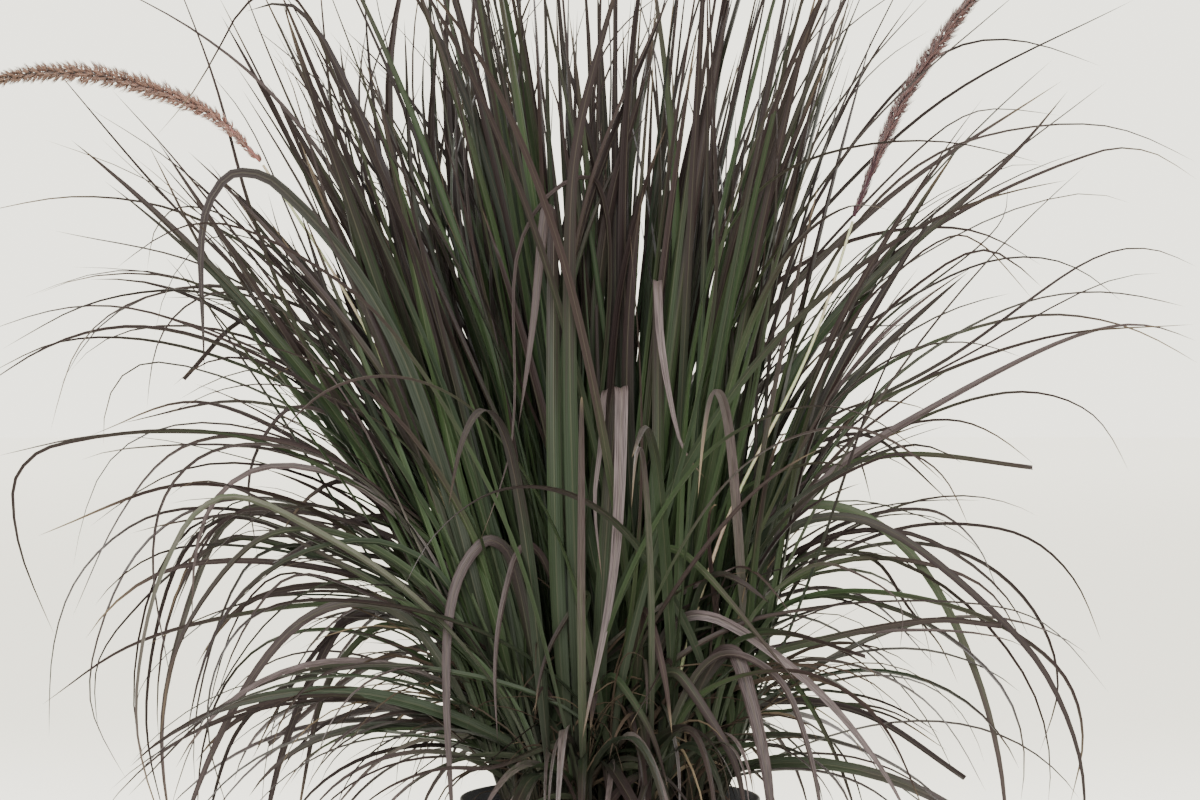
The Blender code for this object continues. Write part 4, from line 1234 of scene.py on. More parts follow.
@dataclass
class GrassClump:
    """All the leaves of the clump, one piece for each shoot of the frame.

    The counts are blades to a leaf (upright, arching) or to a shoot (fan, skirt, dead). Left and right say
    where a leaf's tip or a shoot's foot is, and inner shoots stand within the heart.
    """

    finish: GrassFinish = field(default_factory=GrassFinish)
    shape: BladeShape = field(default_factory=BladeShape)
    upright: int = 6
    upright_right: int = 2
    arching_left: int = 3
    arching_right: int = 2
    fan_inner: int = 8
    fan_left: int = 7
    fan_right: int = 3
    skirt: int = 2
    skirt_left: int = 4
    dead: int = 10
    heart: float = 0.045
    left_from: float = -0.02
    right_tips_from: float = 0.10
    neighbours: int = 13
    tries: int = 6
    culm_room: float = 0.0038
    hanging_room: float = 0.013
    flower_room: float = 0.020
    hanging_start: int = 20
    outlined_widening: float = 1.05
    outlined_taper: float = 3.2
    outlined_fold: Span = Span(0.22, 0.40)
    arching_width: Span = Span(0.0035, 0.0090)
    narrow: Span = Span(0.0040, 0.0085)
    broad: Span = Span(0.0095, 0.0135)
    broad_share: float = 0.3
    fan_taper: Span = Span(2.8, 5.0)
    skirt_width: Span = Span(0.004, 0.012)
    dead_width: Span = Span(0.0012, 0.0055)
    roll: Span = Span(-0.9, 0.9)
    twist: Span = Span(-1.2, 1.2)
    between_share: Span = Span(0.15, 0.85)
    fan_stray: float = 0.9
    fan_stray_fall: float = 6
    skirt_stray: float = 0.45
    skirt_bloomed: float = 0.25
    skirt_bloom: Span = Span(0.5, 0.9)
    bend_power: Span = Span(1.0, 1.8)
    sway: float = 0.35
    samples: dict[BladeKind, int] = field(default_factory=lambda: {
        BladeKind.OUTLINED: 40, BladeKind.BETWEEN: 26, BladeKind.FAN: 24, BladeKind.SKIRT: 22,
        BladeKind.DEAD: 14,
    })
    chance: random.Random = field(default_factory=lambda: random.Random(SEED))
    hanging: np.ndarray = field(default_factory=lambda: np.empty((0, 3)))
    flowers: np.ndarray = field(default_factory=lambda: np.empty((0, 3)))

    FOOT_PART = 0.45
    LEAF_PART = 0.55
    EVERY = 4
    BEND_COUNTS = 0.03
    TURNS_BEFORE_CREST = 0.2
    DARKER = 0.6
    STEPS = 40

    def build(self, groups: Groups) -> list[bpy.types.Object]:
        """Build every shoot.

        Args:
            groups: The shared node groups.

        Returns:
            The pieces, in the order of the frame's shoots.
        """
        readers = [ShootReader(name) for name in sorted(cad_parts) if name.startswith("shoot_")]
        leaves = [leaf for reader in readers for leaf in reader.leaves]
        standing = [leaf for leaf in leaves if leaf.lie is not Lie.HANGING]
        hanging = [leaf.rows[self.hanging_start:, :3] for leaf in leaves if leaf.lie is Lie.HANGING]
        self.hanging = np.concatenate(hanging)
        self.flowers = np.concatenate([NodeMesh(name).points for name in ("plume_left", "plume_right")])
        LOG.info("read %d leaves of %d shoots", len(leaves), len(readers))
        material = self.finish.make(groups)
        pieces = []
        for reader in readers:
            blades = []
            for leaf in reader.leaves:
                blades.append(self._outlined(leaf, reader))
                blades.extend(self._between(leaf, reader, standing))
            blades.extend(self._fan(reader) + self._skirt(reader) + self._dead(reader))
            piece = PieceMesh()
            for blade in blades:
                piece.add(self.shape.build(blade))
            item = piece.finished(reader.name.replace("shoot", "grass_leaves"), material)
            pieces.append(dressed(item, "grass_blade", reader.name))
        return pieces

    def _from_foot(self, reader: ShootReader, rows: np.ndarray, kind: BladeKind) -> np.ndarray:
        """Lead a leaf up from the potting mix along its culm to where it parts.

        Args:
            reader: The shoot that it grows on.
            rows: The leaf's points and keels from there on.
            kind: What the blade is.

        Returns:
            The points and keels of the whole blade, as many as its kind has.
        """
        angle = self.chance.uniform(0, 2 * math.pi)
        off = self.culm_room * math.sqrt(self.chance.random())
        foot = reader.foot + np.array((math.cos(angle), math.sin(angle), 0.0)) * off
        halfway = foot * self.FOOT_PART + rows[0, :3] * self.LEAF_PART
        corners = np.concatenate(([foot, halfway], rows[::self.EVERY, :3], rows[-1:, :3]))
        keels = np.concatenate((rows[[0, 0], 3:], rows[::self.EVERY, 3:], rows[-1:, 3:]))
        points = curve_through(corners, self.EVERY)
        near, far = reach_along(corners), reach_along(points)
        spread = [np.interp(far / far[-1], near / near[-1], column) for column in keels.T]
        whole = np.column_stack([points] + spread)
        return spread_evenly(whole, self.samples[kind], at_bends=self.BEND_COUNTS)

    def _in_the_way(self, points: np.ndarray) -> bool:
        """Whether a line passes just in front of a leaf that hangs down the front, or close by a plume.

        Args:
            points: The line's points.

        Returns:
            True if it does.
        """
        off = points[:, None] - self.hanging[None]
        near = off[..., 0] ** 2 + off[..., 2] ** 2 < self.hanging_room ** 2
        if np.any(near & (off[..., 1] < 0)):
            return True
        off = points[:, None] - self.flowers[None]
        return bool(np.any(off[..., 0] ** 2 + off[..., 2] ** 2 < self.flower_room ** 2))

    def _free_line(self, reader: ShootReader, kind: BladeKind, draw: Drawing) -> np.ndarray | None:
        """A line for a blade that the frame doesn't hold, clear of the hanging leaves and the plumes.

        Args:
            reader: The shoot that it grows on.
            kind: What the blade is.
            draw: Draws the points of one line after another.

        Returns:
            The points and keels of the whole blade, or nothing if no line keeps clear.
        """
        for _ in range(self.tries):
            points = draw()
            if not self._in_the_way(points):
                return self._from_foot(reader, np.column_stack((points, self._free_keels(points))), kind)
        return None

    def _colours(self, lie: Lie) -> dict[str, float]:
        """Draw the colours of one leaf.

        Args:
            lie: How the leaf lies.

        Returns:
            The values of the blade's fields for them.
        """
        chance = self.chance
        if lie is Lie.HANGING:
            return {"tone": chance.uniform(0.4, 0.9), "turning": chance.uniform(0.15, 0.35),
                    "dryness": chance.choice((0.0, 0.06, 0.12)), "bloom": chance.uniform(0.75, 1.0)}
        if lie is Lie.ARCHING:
            bloom = chance.uniform(0.4, 0.8) if chance.random() < 0.15 else chance.uniform(0.0, 0.15)
            return {"tone": chance.random(), "turning": chance.uniform(0.30, 0.75),
                    "dryness": chance.choice((0.0, 0.05, 0.10, 0.16)), "bloom": bloom}
        return {"tone": chance.random() ** 1.4, "turning": chance.uniform(0.45, 0.85),
                "dryness": chance.choice((0.0, 0.0, 0.05, 0.10)), "bloom": chance.uniform(0.0, 0.07)}

    def _outlined(self, leaf: LeafLine, reader: ShootReader) -> Blade:
        """The blade of a leaf that the frame holds; one that hangs in front turns mauve at its crest.

        Args:
            leaf: The leaf.
            reader: The shoot that it grows on.

        Returns:
            The blade.
        """
        rows = self._from_foot(reader, leaf.rows, BladeKind.OUTLINED)
        fold = self.outlined_fold.draw(self.chance)
        blade = Blade(BladeKind.OUTLINED, rows, leaf.width * self.outlined_widening, leaf.cut, fold=fold,
                      taper=self.outlined_taper, **self._colours(leaf.lie))
        if leaf.lie is Lie.HANGING:
            reach = reach_along(rows)
            blade.bloom_from = float(reach[np.argmax(rows[:, 2])] / reach[-1])
            blade.turning = blade.bloom_from - self.TURNS_BEFORE_CREST
            blade.tone *= self.DARKER
        return blade

    def _between(self, leaf: LeafLine, reader: ShootReader, standing: list[LeafLine]) -> list[Blade]:
        """Blades that grow from this shoot between the leaf and its neighbours.

        Args:
            leaf: One leaf of the shoot.
            reader: The shoot.
            standing: All the leaves of the clump that don't hang in front.

        Returns:
            The blades.
        """
        if leaf.lie is Lie.HANGING:
            return []

        def apart(other: LeafLine) -> float:
            """How far another leaf is from this one, at their tips and, less so, at their middles."""
            tips, middles = other.tip - leaf.tip, other.middle - leaf.middle
            return float(np.linalg.norm(tips) + 0.5 * np.linalg.norm(middles))

        near = sorted((other for other in standing if other is not leaf), key=apart)[: self.neighbours]
        upright = leaf.lie is Lie.UPRIGHT
        stray = UPRIGHT_STRAY if upright else ARCHING_STRAY
        if upright:
            number = self.upright if leaf.tip[0] < self.right_tips_from else self.upright_right
        else:
            number = self.arching_left if leaf.tip[0] < 0 else self.arching_right
        blades = []
        for other in self.chance.sample(near, number):
            rows = self._free_line(reader, BladeKind.BETWEEN, lambda: self._midway(leaf, other, stray))
            if rows is None:
                continue
            width = self._upright_width() if upright else self.arching_width.draw(self.chance)
            taper = stray.taper.draw(self.chance)
            blades.append(Blade(BladeKind.BETWEEN, rows, width, fold=stray.fold.draw(self.chance),
                                taper=taper, **self._colours(leaf.lie)))
        return blades

    def _upright_width(self) -> float:
        """How wide an upright blade is: most are narrow, some of them broad."""
        return (self.broad if self.chance.random() < self.broad_share else self.narrow).draw(self.chance)

    def _midway(self, leaf: LeafLine, other: LeafLine, stray: Stray) -> np.ndarray:
        """A line somewhere between two leaves, with a bow and a swing of its own.

        Args:
            leaf: The leaf whose start it shares.
            other: The other leaf.
            stray: How the line strays from them.

        Returns:
            The line's points.
        """
        chance = self.chance
        t = np.linspace(0, 1, LeafLine.SAMPLES)[:, None]
        share = self.between_share.draw(chance)
        start = (leaf.rows[0, :3] - other.rows[0, :3]) * share * (1 - t) ** 2
        points = leaf.rows[:, :3] * (1 - share) + other.rows[:, :3] * share + start
        bow = np.array([chance.gauss(0, stray.bow) for _ in range(3)]) * (1 - 0.3 * UP)
        points = points + np.sin(math.pi * t) * bow
        if stray.lift:
            aside = [chance.gauss(0, stray.tilt) for _ in range(2)]
            points = points + t ** 2 * np.array((*aside, stray.lift.draw(chance)))
        swing = t * chance.gauss(0, stray.swing)
        across = np.column_stack((-points[:, 1], points[:, 0], np.zeros(len(points))))
        points = points + across * swing
        return spread_evenly(points, LeafLine.SAMPLES, stray.kept.draw(chance))

    def _free_lines(self, reader: ShootReader, kind: BladeKind, habit: Habit, number: int,
                    stray: float | None = None) -> list[np.ndarray]:
        """Lines for a shoot's free blades of one kind.

        Args:
            reader: The shoot that they grow on.
            kind: What the blades are.
            habit: How they grow.
            number: How many to try.
            stray: How far they stray from leaning outwards, in radians; they lean anywhere if it isn't given.

        Returns:
            The points and keels of each blade that keeps clear.
        """
        def draw() -> np.ndarray:
            """Draw one line."""
            return self._grown(reader, habit, stray)

        lines = [self._free_line(reader, kind, draw) for _ in range(number)]
        return [rows for rows in lines if rows is not None]

    def _grown(self, reader: ShootReader, habit: Habit, stray: float | None) -> np.ndarray:
        """Draw the line of a free blade.

        Args:
            reader: The shoot that it grows on.
            habit: How it grows.
            stray: How far it strays from leaning outwards, or nothing if it leans anywhere.

        Returns:
            The points of the line.
        """
        chance, heading = self.chance, 0.0
        if stray is not None:
            heading = math.atan2(reader.foot[1], reader.foot[0]) + chance.gauss(0, stray)
        length = habit.length.draw(chance)
        more = habit.more.draw(chance) if habit.more else 0.0
        lean = math.radians(habit.lean.draw(chance) + habit.splay * reader.out + more)
        bend = math.radians(habit.bend.draw(chance))
        start = reader.foot + UP * habit.start.draw(chance)
        if stray is None:
            heading = chance.uniform(0, 2 * math.pi)
        return self._arch(start, heading, length, lean, bend)

    def _fan(self, reader: ShootReader) -> list[Blade]:
        """Upright blades that lean out of a shoot, further the further out it stands.

        Args:
            reader: The shoot.

        Returns:
            The blades.
        """
        habit, number = RIGHT_FAN, self.fan_right
        if reader.out < self.heart:
            habit, number = INNER_FAN, self.fan_inner
        elif reader.foot[0] < self.left_from:
            habit, number = LEFT_FAN, self.fan_left
        stray = self.fan_stray - self.fan_stray_fall * reader.out
        lines = self._free_lines(reader, BladeKind.FAN, habit, number, stray)
        return [Blade(BladeKind.FAN, rows, self._upright_width(), fold=habit.fold.draw(self.chance),
                      taper=self.fan_taper.draw(self.chance), **self._colours(Lie.UPRIGHT)) for rows in lines]

    def _skirt(self, reader: ShootReader) -> list[Blade]:
        """Short blades low on an outer shoot, that arch out and hang over the rim.

        Args:
            reader: The shoot.

        Returns:
            The blades.
        """
        chance = self.chance
        outer = self.skirt_left if reader.foot[0] < self.left_from else self.skirt
        number = (outer if reader.out > self.heart else 0) + (1 if reader.foot[1] < -self.heart else 0)
        blades = []
        for rows in self._free_lines(reader, BladeKind.SKIRT, SKIRT, number, self.skirt_stray):
            colours = self._colours(Lie.ARCHING)
            colours["tone"] *= self.DARKER
            if chance.random() < self.skirt_bloomed:
                colours["bloom"] = self.skirt_bloom.draw(chance)
            blades.append(Blade(BladeKind.SKIRT, rows, self.skirt_width.draw(chance),
                                fold=SKIRT.fold.draw(chance), **colours))
        return blades

    def _dead(self, reader: ShootReader) -> list[Blade]:
        """Dead and curled wisps round the foot of a shoot, most of them dark.

        Args:
            reader: The shoot.

        Returns:
            The blades.
        """
        chance = self.chance
        return [Blade(BladeKind.DEAD, rows, self.dead_width.draw(chance), tone=chance.random() ** 4,
                      bloom=0.0, fold=DEAD.fold.draw(chance))
                for rows in self._free_lines(reader, BladeKind.DEAD, DEAD, self.dead)]

    def _arch(self, start: np.ndarray, heading: float, length: float, lean: float, bend: float) -> np.ndarray:
        """A line that leans out more and more.

        Args:
            start: Where it starts.
            heading: The compass direction that it leans in, in radians.
            length: How long it is.
            lean: How far it leans at first.
            bend: How much more it leans at its tip.

        Returns:
            The points of the line.
        """
        t = np.linspace(0, 1, self.STEPS)
        leans = lean + bend * t ** self.bend_power.draw(self.chance)
        sway = heading + self.chance.gauss(0, self.sway) * t
        steps = np.stack((np.cos(sway) * np.sin(leans), np.sin(sway) * np.sin(leans), np.cos(leans)), axis=1)
        return start + np.cumsum(steps, axis=0) * length / len(t)

    def _free_keels(self, points: np.ndarray) -> np.ndarray:
        """Which way a free blade's keel points along it: down and out, with a roll and a slow twist.

        Args:
            points: The points along the blade.

        Returns:
            The keel's direction at each point.
        """
        along = unit(np.gradient(points, axis=0))
        level = unit(np.cross(UP, unit(points[-1] * np.array((1.0, 1.0, 0.0)))))
        keel = unit(np.cross(level, along))
        roll = self.roll.draw(self.chance) + np.linspace(0, self.twist.draw(self.chance), len(points))
        return keel * np.cos(roll)[:, None] + np.cross(along, keel) * np.sin(roll)[:, None]


@dataclass
class NurseryPot:
    """The round nursery pot: a tapered cup with a stepped lip and a low foot."""

    finish: SpeckledFinish = POT_FINISH
    height: float = 0.215
    rim_radius: float = 0.115
    lip_height: float = 0.016
    lip_step: float = 0.0022
    shoulder_radius: float = 0.1105
    base_radius: float = 0.088
    wall: float = 0.0022
    floor: float = 0.004
    foot_round: float = 0.003
    lip_round: float = 0.001
    sides: int = 96

    FOOT_RINGS = 4
    OUTER_RINGS = 14
    LIP_RINGS = 9
    INNER_RINGS = 10
    OUTER_LOW = 0.01
    OUTER_GAP = 0.005
    INNER_GAP = 0.02
    UNDER_LIP = ((-0.0002, -0.0012), (0.0006, -0.0003))
    LIP_RISE = 0.002
    INSIDE_LIP = (0.0006, 0.004)
    CORNER = 0.003

    def build(self, groups: Groups) -> bpy.types.Object:
        """Turn the pot.

        Args:
            groups: The shared node groups.

        Returns:
            The pot.
        """
        piece = PieceMesh()
        rows = [level_ring(radius, height, self.sides) for radius, height in self._profile()]
        piece.add(stacked_body(rows, 0.0, self.floor))
        return dressed(piece.finished("nursery_pot", self.finish.make(groups)), "moulded_plastic", "pot")

    def _profile(self) -> list[tuple[float, float]]:
        """The radius and height of each ring, from under the base up the outside, over the lip and down."""
        low_lip = self.height - self.lip_height
        slope = (self.shoulder_radius - self.base_radius) / low_lip
        rings = [(self.base_radius - self.foot_round, 0.0)]
        for turn in np.linspace(math.pi / 8, math.pi / 2, self.FOOT_RINGS):
            rings.append((self.base_radius - self.foot_round * (1 - math.sin(turn)),
                          self.foot_round * (1 - math.cos(turn))))
        outer = np.linspace(self.OUTER_LOW, low_lip - self.OUTER_GAP, self.OUTER_RINGS)
        rings += [(self.base_radius + slope * height, height) for height in outer]
        rings += [(self.shoulder_radius + out, low_lip + up) for out, up in self.UNDER_LIP]
        rings += [(self.shoulder_radius + self.lip_step, low_lip), (self.rim_radius, low_lip + self.LIP_RISE)]
        middle, level = self.rim_radius - self.lip_round, self.height - self.lip_round
        rings += [(middle + self.lip_round * math.cos(turn), level + self.lip_round * math.sin(turn))
                  for turn in np.linspace(0, math.pi, self.LIP_RINGS)]
        out, down = self.INSIDE_LIP
        rings += [(self.rim_radius - self.wall - out, self.height - down),
                  (self.shoulder_radius - self.wall, low_lip - self.CORNER)]
        inner = np.linspace(low_lip - self.INNER_GAP, self.floor + self.CORNER, self.INNER_RINGS)
        rings += [(self.base_radius + slope * height - self.wall, height) for height in inner]
        return rings + [(self.base_radius - self.wall - self.CORNER, self.floor)]


@dataclass
class PottingMix:
    """The potting mix: a rough crumbly bed with loose crumbs and bits of bark on it."""

    finish: SpeckledFinish = MIX_FINISH
    radius: float = 0.1078
    top: float = 0.200
    crown: float = 0.004
    crown_radius: float = 0.083
    bottom: float = 0.0045
    bottom_radius: float = 0.0855
    sides: int = 120
    rings: int = 36
    crumbs: int = 620
    crumb_size: Span = Span(0.0008, 0.0028)
    crumb_width: Span = Span(0.5, 1.0)
    crumb_height: Span = Span(0.4, 0.9)
    crumb_lumps: Span = Span(0.7, 1.25)
    crumb_sinks: float = 0.0006
    crumb_edge: float = 0.004
    roughness: float = 0.0016
    tallest_bump: float = 0.0022
    sunk: float = 0.001
    edge_gap: float = 0.001
    side_depth: float = 0.012

    SMOOTHINGS = 2
    CALM_RINGS = 2
    GOLDEN = (1 + math.sqrt(5)) / 2
    CORNERS = np.array([
        (-1, GOLDEN, 0), (1, GOLDEN, 0), (-1, -GOLDEN, 0), (1, -GOLDEN, 0),
        (0, -1, GOLDEN), (0, 1, GOLDEN), (0, -1, -GOLDEN), (0, 1, -GOLDEN),
        (GOLDEN, 0, -1), (GOLDEN, 0, 1), (-GOLDEN, 0, -1), (-GOLDEN, 0, 1),
    ]) / 1.9
    FACES = ((0, 11, 5), (0, 5, 1), (0, 1, 7), (0, 7, 10), (0, 10, 11), (1, 5, 9), (5, 11, 4), (11, 10, 2),
             (10, 7, 6), (7, 1, 8), (3, 9, 4), (3, 4, 2), (3, 2, 6), (3, 6, 8), (3, 8, 9), (4, 9, 5),
             (2, 4, 11), (6, 2, 10), (8, 6, 7), (9, 8, 1))

    def build(self, groups: Groups) -> bpy.types.Object:
        """Build the bed and strew the crumbs.

        Args:
            groups: The shared node groups.

        Returns:
            The potting mix.
        """
        chance = np.random.default_rng(SEED)
        piece = PieceMesh()
        piece.add(self._bed(chance))
        for _ in range(self.crumbs):
            piece.add(self._crumb(chance))
        item = piece.finished("crumbly_potting_mix", self.finish.make(groups))
        return dressed(item, "potting_mix", "potting_mix")

    def _height(self, out: float) -> float:
        """How high the bed is at a distance from its middle."""
        return self.top + self.crown * (1 - (out / self.crown_radius) ** 2)

    def _bed(self, chance: np.random.Generator) -> Body:
        """The bed: its underside, its side within the pot, and its rough top.

        Args:
            chance: Where random draws come from.

        Returns:
            The bed.
        """
        bumps = chance.normal(0, 1, (self.rings, self.sides))
        for _ in range(self.SMOOTHINGS):
            bumps = (bumps + np.roll(bumps, 1, axis=1) + np.roll(bumps, 1, axis=0)) / 3
        bumps = bumps / bumps.std() * self.roughness
        rows = [level_ring(self.bottom_radius, self.bottom, self.sides),
                level_ring(self.radius - self.edge_gap, self.top - self.side_depth, self.sides)]
        for ring in range(self.rings):
            out = self.radius * (1 - ring / self.rings)
            bump = np.minimum(bumps[ring], self.tallest_bump) * min(1.0, ring / self.CALM_RINGS)
            rows.append(level_ring(out, self._height(out) - self.sunk + bump, self.sides))
        return stacked_body(rows, self.bottom, self.top + self.crown - self.sunk)

    def _crumb(self, chance: np.random.Generator) -> Body:
        """One crumb or bit of bark, half sunk in the bed.

        Args:
            chance: Where random draws come from.

        Returns:
            The crumb.
        """
        out = (self.radius - self.crumb_edge) * math.sqrt(chance.random())
        angle, spin = chance.uniform(0, 2 * math.pi, 2)
        size = self.crumb_size.draw(chance)
        shape = size * np.array((1.0, self.crumb_width.draw(chance), self.crumb_height.draw(chance)))
        corners = self.CORNERS * chance.uniform(*self.crumb_lumps, (len(self.CORNERS), 1)) * shape
        cos, sin = math.cos(spin), math.sin(spin)
        turn = np.array(((cos, -sin, 0), (sin, cos, 0), (0, 0, 1)))
        height = self._height(out) - self.crumb_sinks
        place = np.array((out * math.cos(angle), out * math.sin(angle), height))
        return plain_body(corners @ turn.T + place, list(self.FACES))


class Side(Enum):
    """Which of the two flowers a part belongs to."""

    LEFT = "left"
    RIGHT = "right"


@dataclass
class FlowerStem:
    """The thin stem under a plume."""

    side: Side
    finish: SpeckledFinish = STEM_FINISH
    foot_radius: float = 0.0016
    top_radius: float = 0.0010

    FRAME_SIDES = 6
    FINE_STEPS = 90
    SOFTENING = 4
    STEPS = 70
    SIDES = 10

    def build(self, groups: Groups) -> bpy.types.Object:
        """Draw the stem along the frame's stem.

        Args:
            groups: The shared node groups.

        Returns:
            The stem.
        """
        name = f"flower_stem_{self.side.value}"
        mesh = NodeMesh(name)
        upwards = sorted(range(len(mesh.points)), key=lambda index: mesh.points[index][2])
        foot = upwards[:self.FRAME_SIDES]
        layers = [foot] + mesh.layers(set(foot), self.FRAME_SIDES)
        middles = np.array([np.mean([mesh.points[corner] for corner in layer], axis=0) for layer in layers])
        fine = spread_evenly(curve_through(middles), self.FINE_STEPS)
        line = spread_evenly(softened(fine, self.SOFTENING), self.STEPS)
        piece = PieceMesh()
        piece.add(tube(line, np.linspace(self.foot_radius, self.top_radius, len(line)), self.SIDES))
        item = piece.finished(f"stem_of_{self.side.value}_plume", self.finish.make(groups))
        return dressed(item, "flower_stem", name)


@dataclass
class Plume:
    """One bristly flower plume: a spine, seed-like spikelets along it, and bristles that lean forward."""

    side: Side
    finish: PlumeFinish
    tufts: int = 480
    bristle_length: float = 0.009
    bristles: int = 18
    bristle_radius: float = 0.00028
    bristle_spread: float = 0.09
    length_share: Span = Span(0.55, 1.0)
    radius_share: Span = Span(0.7, 1.2)
    height_share: Span = Span(0.65, 1.0)
    turn_stray: Span = Span(-0.3, 0.3)
    case_length: Span = Span(0.0042, 0.0062)
    spine: Span = Span(0.0004, 0.0014)
    spine_tone: float = 0.3
    needle: Weave = field(default_factory=lambda: woven(2, 3, True, 3, ()))
    seed_case: Weave = field(default_factory=lambda: woven(3, 5, True, 5, ()))

    SIDES = 8
    STEPS = 140
    SOFTENING = 4
    SPINE_SIDES = 6
    CASE_SIDES = 5
    CASE_RINGS = ((0.0, 0.0002), (0.3, 0.00075), (0.65, 0.0006))
    CASE_LEAN = 0.45
    CASE_OUT = 0.0012
    CASE_OUT_SHARE = 0.3
    TIP_REACH = 0.0015
    GOLDEN_TURN = 2.399963
    THIRDS = (0.0, 2.094, 4.189)
    THIN_FOOT = 0.22
    FOOT_TUFTS = 0.35
    MORE_TUFTS = 3
    SHORTER_TIP = 0.35
    LOWER = 0.45
    LOWER_POWER = 1.5
    MIDDLE_OUT = 0.62
    MIDDLE_ON = 0.35
    WIDER_FOOT = 1.3

    def build(self, groups: Groups) -> bpy.types.Object:
        """Build the plume.

        Args:
            groups: The shared node groups.

        Returns:
            The plume.
        """
        chance = np.random.default_rng(SEED + len(self.side.value))
        line, reach = self._spine()
        along = unit(np.gradient(line, axis=0))
        piece = PieceMesh()
        radii = np.linspace(self.spine.high, self.spine.low, len(line))
        piece.add(tube(line, radii, self.SPINE_SIDES, self.spine_tone))
        for number in range(self.tufts):
            share = (number + chance.random()) / self.tufts
            if share < self.THIN_FOOT and chance.random() > self.FOOT_TUFTS + self.MORE_TUFTS * share:
                continue
            at = min(int(share * (self.STEPS - 1)), self.STEPS - 2)
            turn = number * self.GOLDEN_TURN + self.turn_stray.draw(chance)
            height = reach[at] * self.height_share.draw(chance)
            piece.add(self._spikelet(line[at], along[at], turn, height, share, chance))
            for _ in range(self.bristles):
                spread = turn + chance.normal(0, self.bristle_spread)
                piece.add(self._bristle(line[at], along[at], spread, height, share, chance))
        item = piece.finished(f"bristles_of_{self.side.value}_plume", self.finish.make(groups))
        return dressed(item, "plume_bristle", f"plume_{self.side.value}")

    def _spine(self) -> tuple[np.ndarray, np.ndarray]:
        """The plume's middle line and how far its bristles reach at each point, from the frame's rings."""
        mesh = NodeMesh(f"plume_{self.side.value}")
        tips = [index for index, near in enumerate(mesh.next_to) if len(near) == self.SIDES]
        found = {tip: mesh.layers({tip}, self.SIDES) for tip in tips}
        tip = max(found, key=lambda index: len(found[index]))
        rings = [np.array([mesh.points[corner] for corner in layer]) for layer in reversed(found[tip])]
        middles = np.array([ring.mean(axis=0) for ring in rings] + [mesh.points[tip]])
        reaches = [float(np.linalg.norm(ring - ring.mean(axis=0), axis=1).max()) for ring in rings]
        reach = np.array(reaches + [self.TIP_REACH])
        line = softened(spread_evenly(curve_through(middles), self.STEPS), self.SOFTENING)
        near = reach_along(middles) / reach_along(middles)[-1]
        high = np.maximum(reach, np.concatenate((reach[1:], reach[-1:])))
        return line, np.interp(np.linspace(0, 1, self.STEPS), near, high)

    def _outwards(self, along: np.ndarray, turn: float) -> tuple[np.ndarray, np.ndarray]:
        """The directions of a part of the plume that grows out of its spine.

        Args:
            along: The way the spine runs there.
            turn: The angle round the spine that the part grows at.

        Returns:
            The direction out of the spine, and the one across it and the spine.
        """
        side = unit(np.cross(along, UP))
        out = side * math.cos(turn) + np.cross(side, along) * math.sin(turn)
        return out, np.cross(out, along)

    def _bristle(self, spot: np.ndarray, along: np.ndarray, turn: float, reach: float, share: float,
                 chance: np.random.Generator) -> Body:
        """One bristle: a three-sided needle that curves forwards.

        Args:
            spot: Where on the spine it grows.
            along: The way the spine runs there.
            turn: The angle round the spine that it grows at.
            reach: How far out of the spine the bristles reach there.
            share: How far along the plume it is.
            chance: Where random draws come from.

        Returns:
            The bristle.
        """
        out, across = self._outwards(along, turn)
        length = self.bristle_length * self.length_share.draw(chance) * (1 - self.SHORTER_TIP * share)
        height = reach * (1 - self.LOWER * chance.random() ** self.LOWER_POWER)
        middle = spot + out * height * self.MIDDLE_OUT + along * length * self.MIDDLE_ON
        end = spot + out * height + along * length
        ring = np.array([across * math.cos(angle) + along * math.sin(angle) for angle in self.THIRDS])
        radius = self.bristle_radius * self.radius_share.draw(chance)
        points = np.concatenate((spot + ring * radius * self.WIDER_FOOT, middle + ring * radius, [end]))
        count = len(self.needle.corners)
        lies = np.column_stack((np.full(count, 0.5), np.full(count, share), self.needle.rings / 2))
        return grown_body(points, self.needle, lies, (chance.random(), 0.0, 0.0))

    def _spikelet(self, spot: np.ndarray, along: np.ndarray, turn: float, reach: float, share: float,
                  chance: np.random.Generator) -> Body:
        """One spikelet: a slim pointed seed case close to the spine.

        Args:
            spot: Where on the spine it grows.
            along: The way the spine runs there.
            turn: The angle round the spine that it grows at.
            reach: How far out of the spine the bristles reach there.
            share: How far along the plume it is.
            chance: Where random draws come from.

        Returns:
            The spikelet.
        """
        out, across = self._outwards(along, turn)
        heading = unit(along + out * self.CASE_LEAN)
        start = spot + out * min(self.CASE_OUT, reach * self.CASE_OUT_SHARE)
        length = self.case_length.draw(chance)
        points = []
        for step, radius in self.CASE_RINGS:
            for angle in np.linspace(0, 2 * math.pi, self.CASE_SIDES, endpoint=False):
                arm = across * math.cos(angle) + np.cross(heading, across) * math.sin(angle)
                points.append(start + heading * length * step + arm * radius)
        count = len(self.seed_case.corners)
        lies = np.column_stack((np.full(count, 0.5), np.full(count, share), np.zeros(count)))
        return grown_body(np.array(points + [start + heading * length]), self.seed_case, lies,
                          (chance.random(), 1.0, 0.0))


@dataclass(frozen=True)
class Lamp:
    """A soft square light: where it hangs, its power in watts and the length of its sides."""

    name: str
    place: Place
    power: float
    size: float


LAMPS = (
    Lamp("key", (-0.5, -3.3, 1.5), 46.0, 1.4),
    Lamp("fill", (0.6, -3.4, 1.1), 28.0, 1.4),
    Lamp("back_left", (-2.6, 2.2, 1.5), 30.0, 1.6),
    Lamp("back_right", (2.6, 2.2, 1.5), 30.0, 1.6),
)


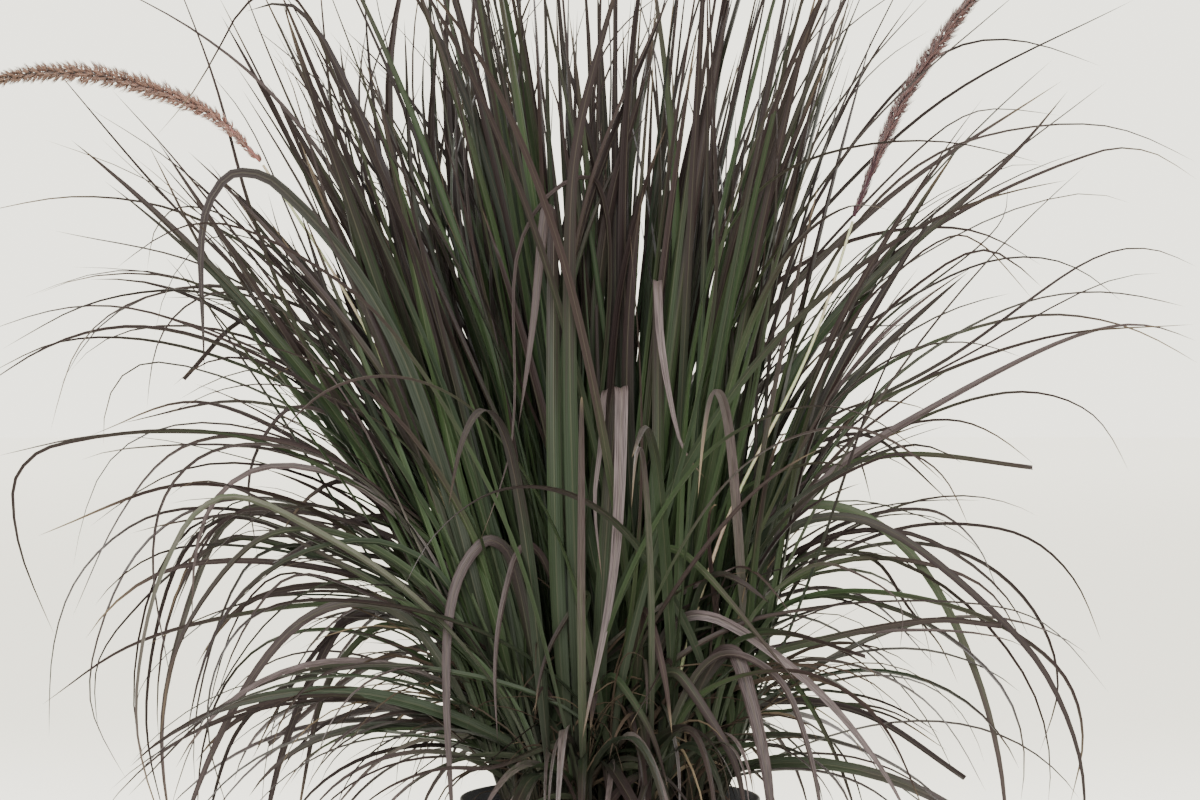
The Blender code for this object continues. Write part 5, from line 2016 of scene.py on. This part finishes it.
@dataclass
class Studio:
    """A plain pale floor, soft light from all round, and a camera level with the middle of the clump."""

    backdrop: Colour = (1.0, 0.970, 0.840)
    brightness: float = 2.9
    near_floor: Colour = (0.80, 0.79, 0.755)
    far_floor: Colour = (0.96, 0.95, 0.93)
    floor_fade: Span = Span(1.0, 22.0)
    floor_roughness: float = 0.9
    floor_gloss: float = 0.1
    floor_radius: float = 40.0
    floor_sides: int = 128
    lamps: tuple[Lamp, ...] = LAMPS
    lamp_spread: float = math.radians(70)
    lit_spot: Place = (0.0, 0.0, 0.5)
    camera_place: Place = (-0.00767, -2.3, 0.519)
    lens: float = 90.0
    sight: float = 200

    def build(self) -> None:
        """Set up the light, the floor and the camera."""
        world = bpy.data.worlds.new("soft_studio")
        bpy.context.scene.world = world
        world.use_nodes = True
        sky = world.node_tree.nodes["Background"]
        sky.inputs["Color"].default_value = (*self.backdrop, 1)
        sky.inputs["Strength"].default_value = self.brightness
        self._floor()
        for lamp in self.lamps:
            self._light(lamp)
        camera = bpy.data.objects.new("camera", bpy.data.cameras.new("camera"))
        bpy.context.scene.collection.objects.link(camera)
        camera.location = self.camera_place
        camera.rotation_euler = (math.pi / 2, 0, 0)
        camera.data.lens = self.lens
        camera.data.clip_end = self.sight
        bpy.context.scene.camera = camera

    def _floor(self) -> None:
        """The floor: one wide pale disc, a little darker near the object."""
        mesh = bpy.data.meshes.new("floor")
        corners = level_ring(self.floor_radius, 0.0, self.floor_sides).tolist()
        mesh.from_pydata(corners, [], [tuple(range(self.floor_sides))])
        work = FinishBuilder("pale_floor")
        length = added(work.tree, "ShaderNodeVectorMath", operation="LENGTH")
        work.tree.links.new(work.tree.nodes.new("ShaderNodeTexCoord").outputs["Object"], length.inputs[0])
        far = ramped(work.tree, length.outputs["Value"], *self.floor_fade)
        colour = work.mix(far, self.near_floor, self.far_floor)
        fed(work.tree, work.shader.inputs["Base Color"], colour)
        work.shader.inputs["Roughness"].default_value = self.floor_roughness
        work.shader.inputs["Specular IOR Level"].default_value = self.floor_gloss
        mesh.materials.append(work.material)
        floor = bpy.data.objects.new("floor", mesh)
        bpy.context.scene.collection.objects.link(floor)

    def _light(self, lamp: Lamp) -> None:
        """Hang one lamp, turned to the clump.

        Args:
            lamp: The lamp.
        """
        light = bpy.data.lights.new(lamp.name, "AREA")
        light.energy = lamp.power
        light.size = lamp.size
        light.spread = self.lamp_spread
        item = bpy.data.objects.new(lamp.name, light)
        item.location = lamp.place
        aim = Vector(self.lit_spot) - item.location
        item.rotation_euler = aim.to_track_quat("-Z", "Y").to_euler()
        bpy.context.scene.collection.objects.link(item)


def main() -> None:
    """Dress the frame, piece by piece."""
    logging.basicConfig(level=logging.INFO, format="%(name)s: %(message)s")
    groups = Groups()
    parts = (
        NurseryPot(), PottingMix(), FlowerStem(Side.LEFT), FlowerStem(Side.RIGHT),
        Plume(Side.LEFT, LEFT_PLUME_FINISH),
        Plume(Side.RIGHT, RIGHT_PLUME_FINISH, tufts=400, bristle_length=0.014),
    )
    pieces = [part.build(groups) for part in parts] + GrassClump().build(groups)
    for piece in pieces:
        LOG.info("%s has %d faces", piece.name, len(piece.data.polygons))
    triangles = sum(len(piece.data.loops) - 2 * len(piece.data.polygons) for piece in pieces)
    LOG.info("all pieces have %d triangles", triangles)
    Studio().build()


if __name__ == "__main__":
    main()
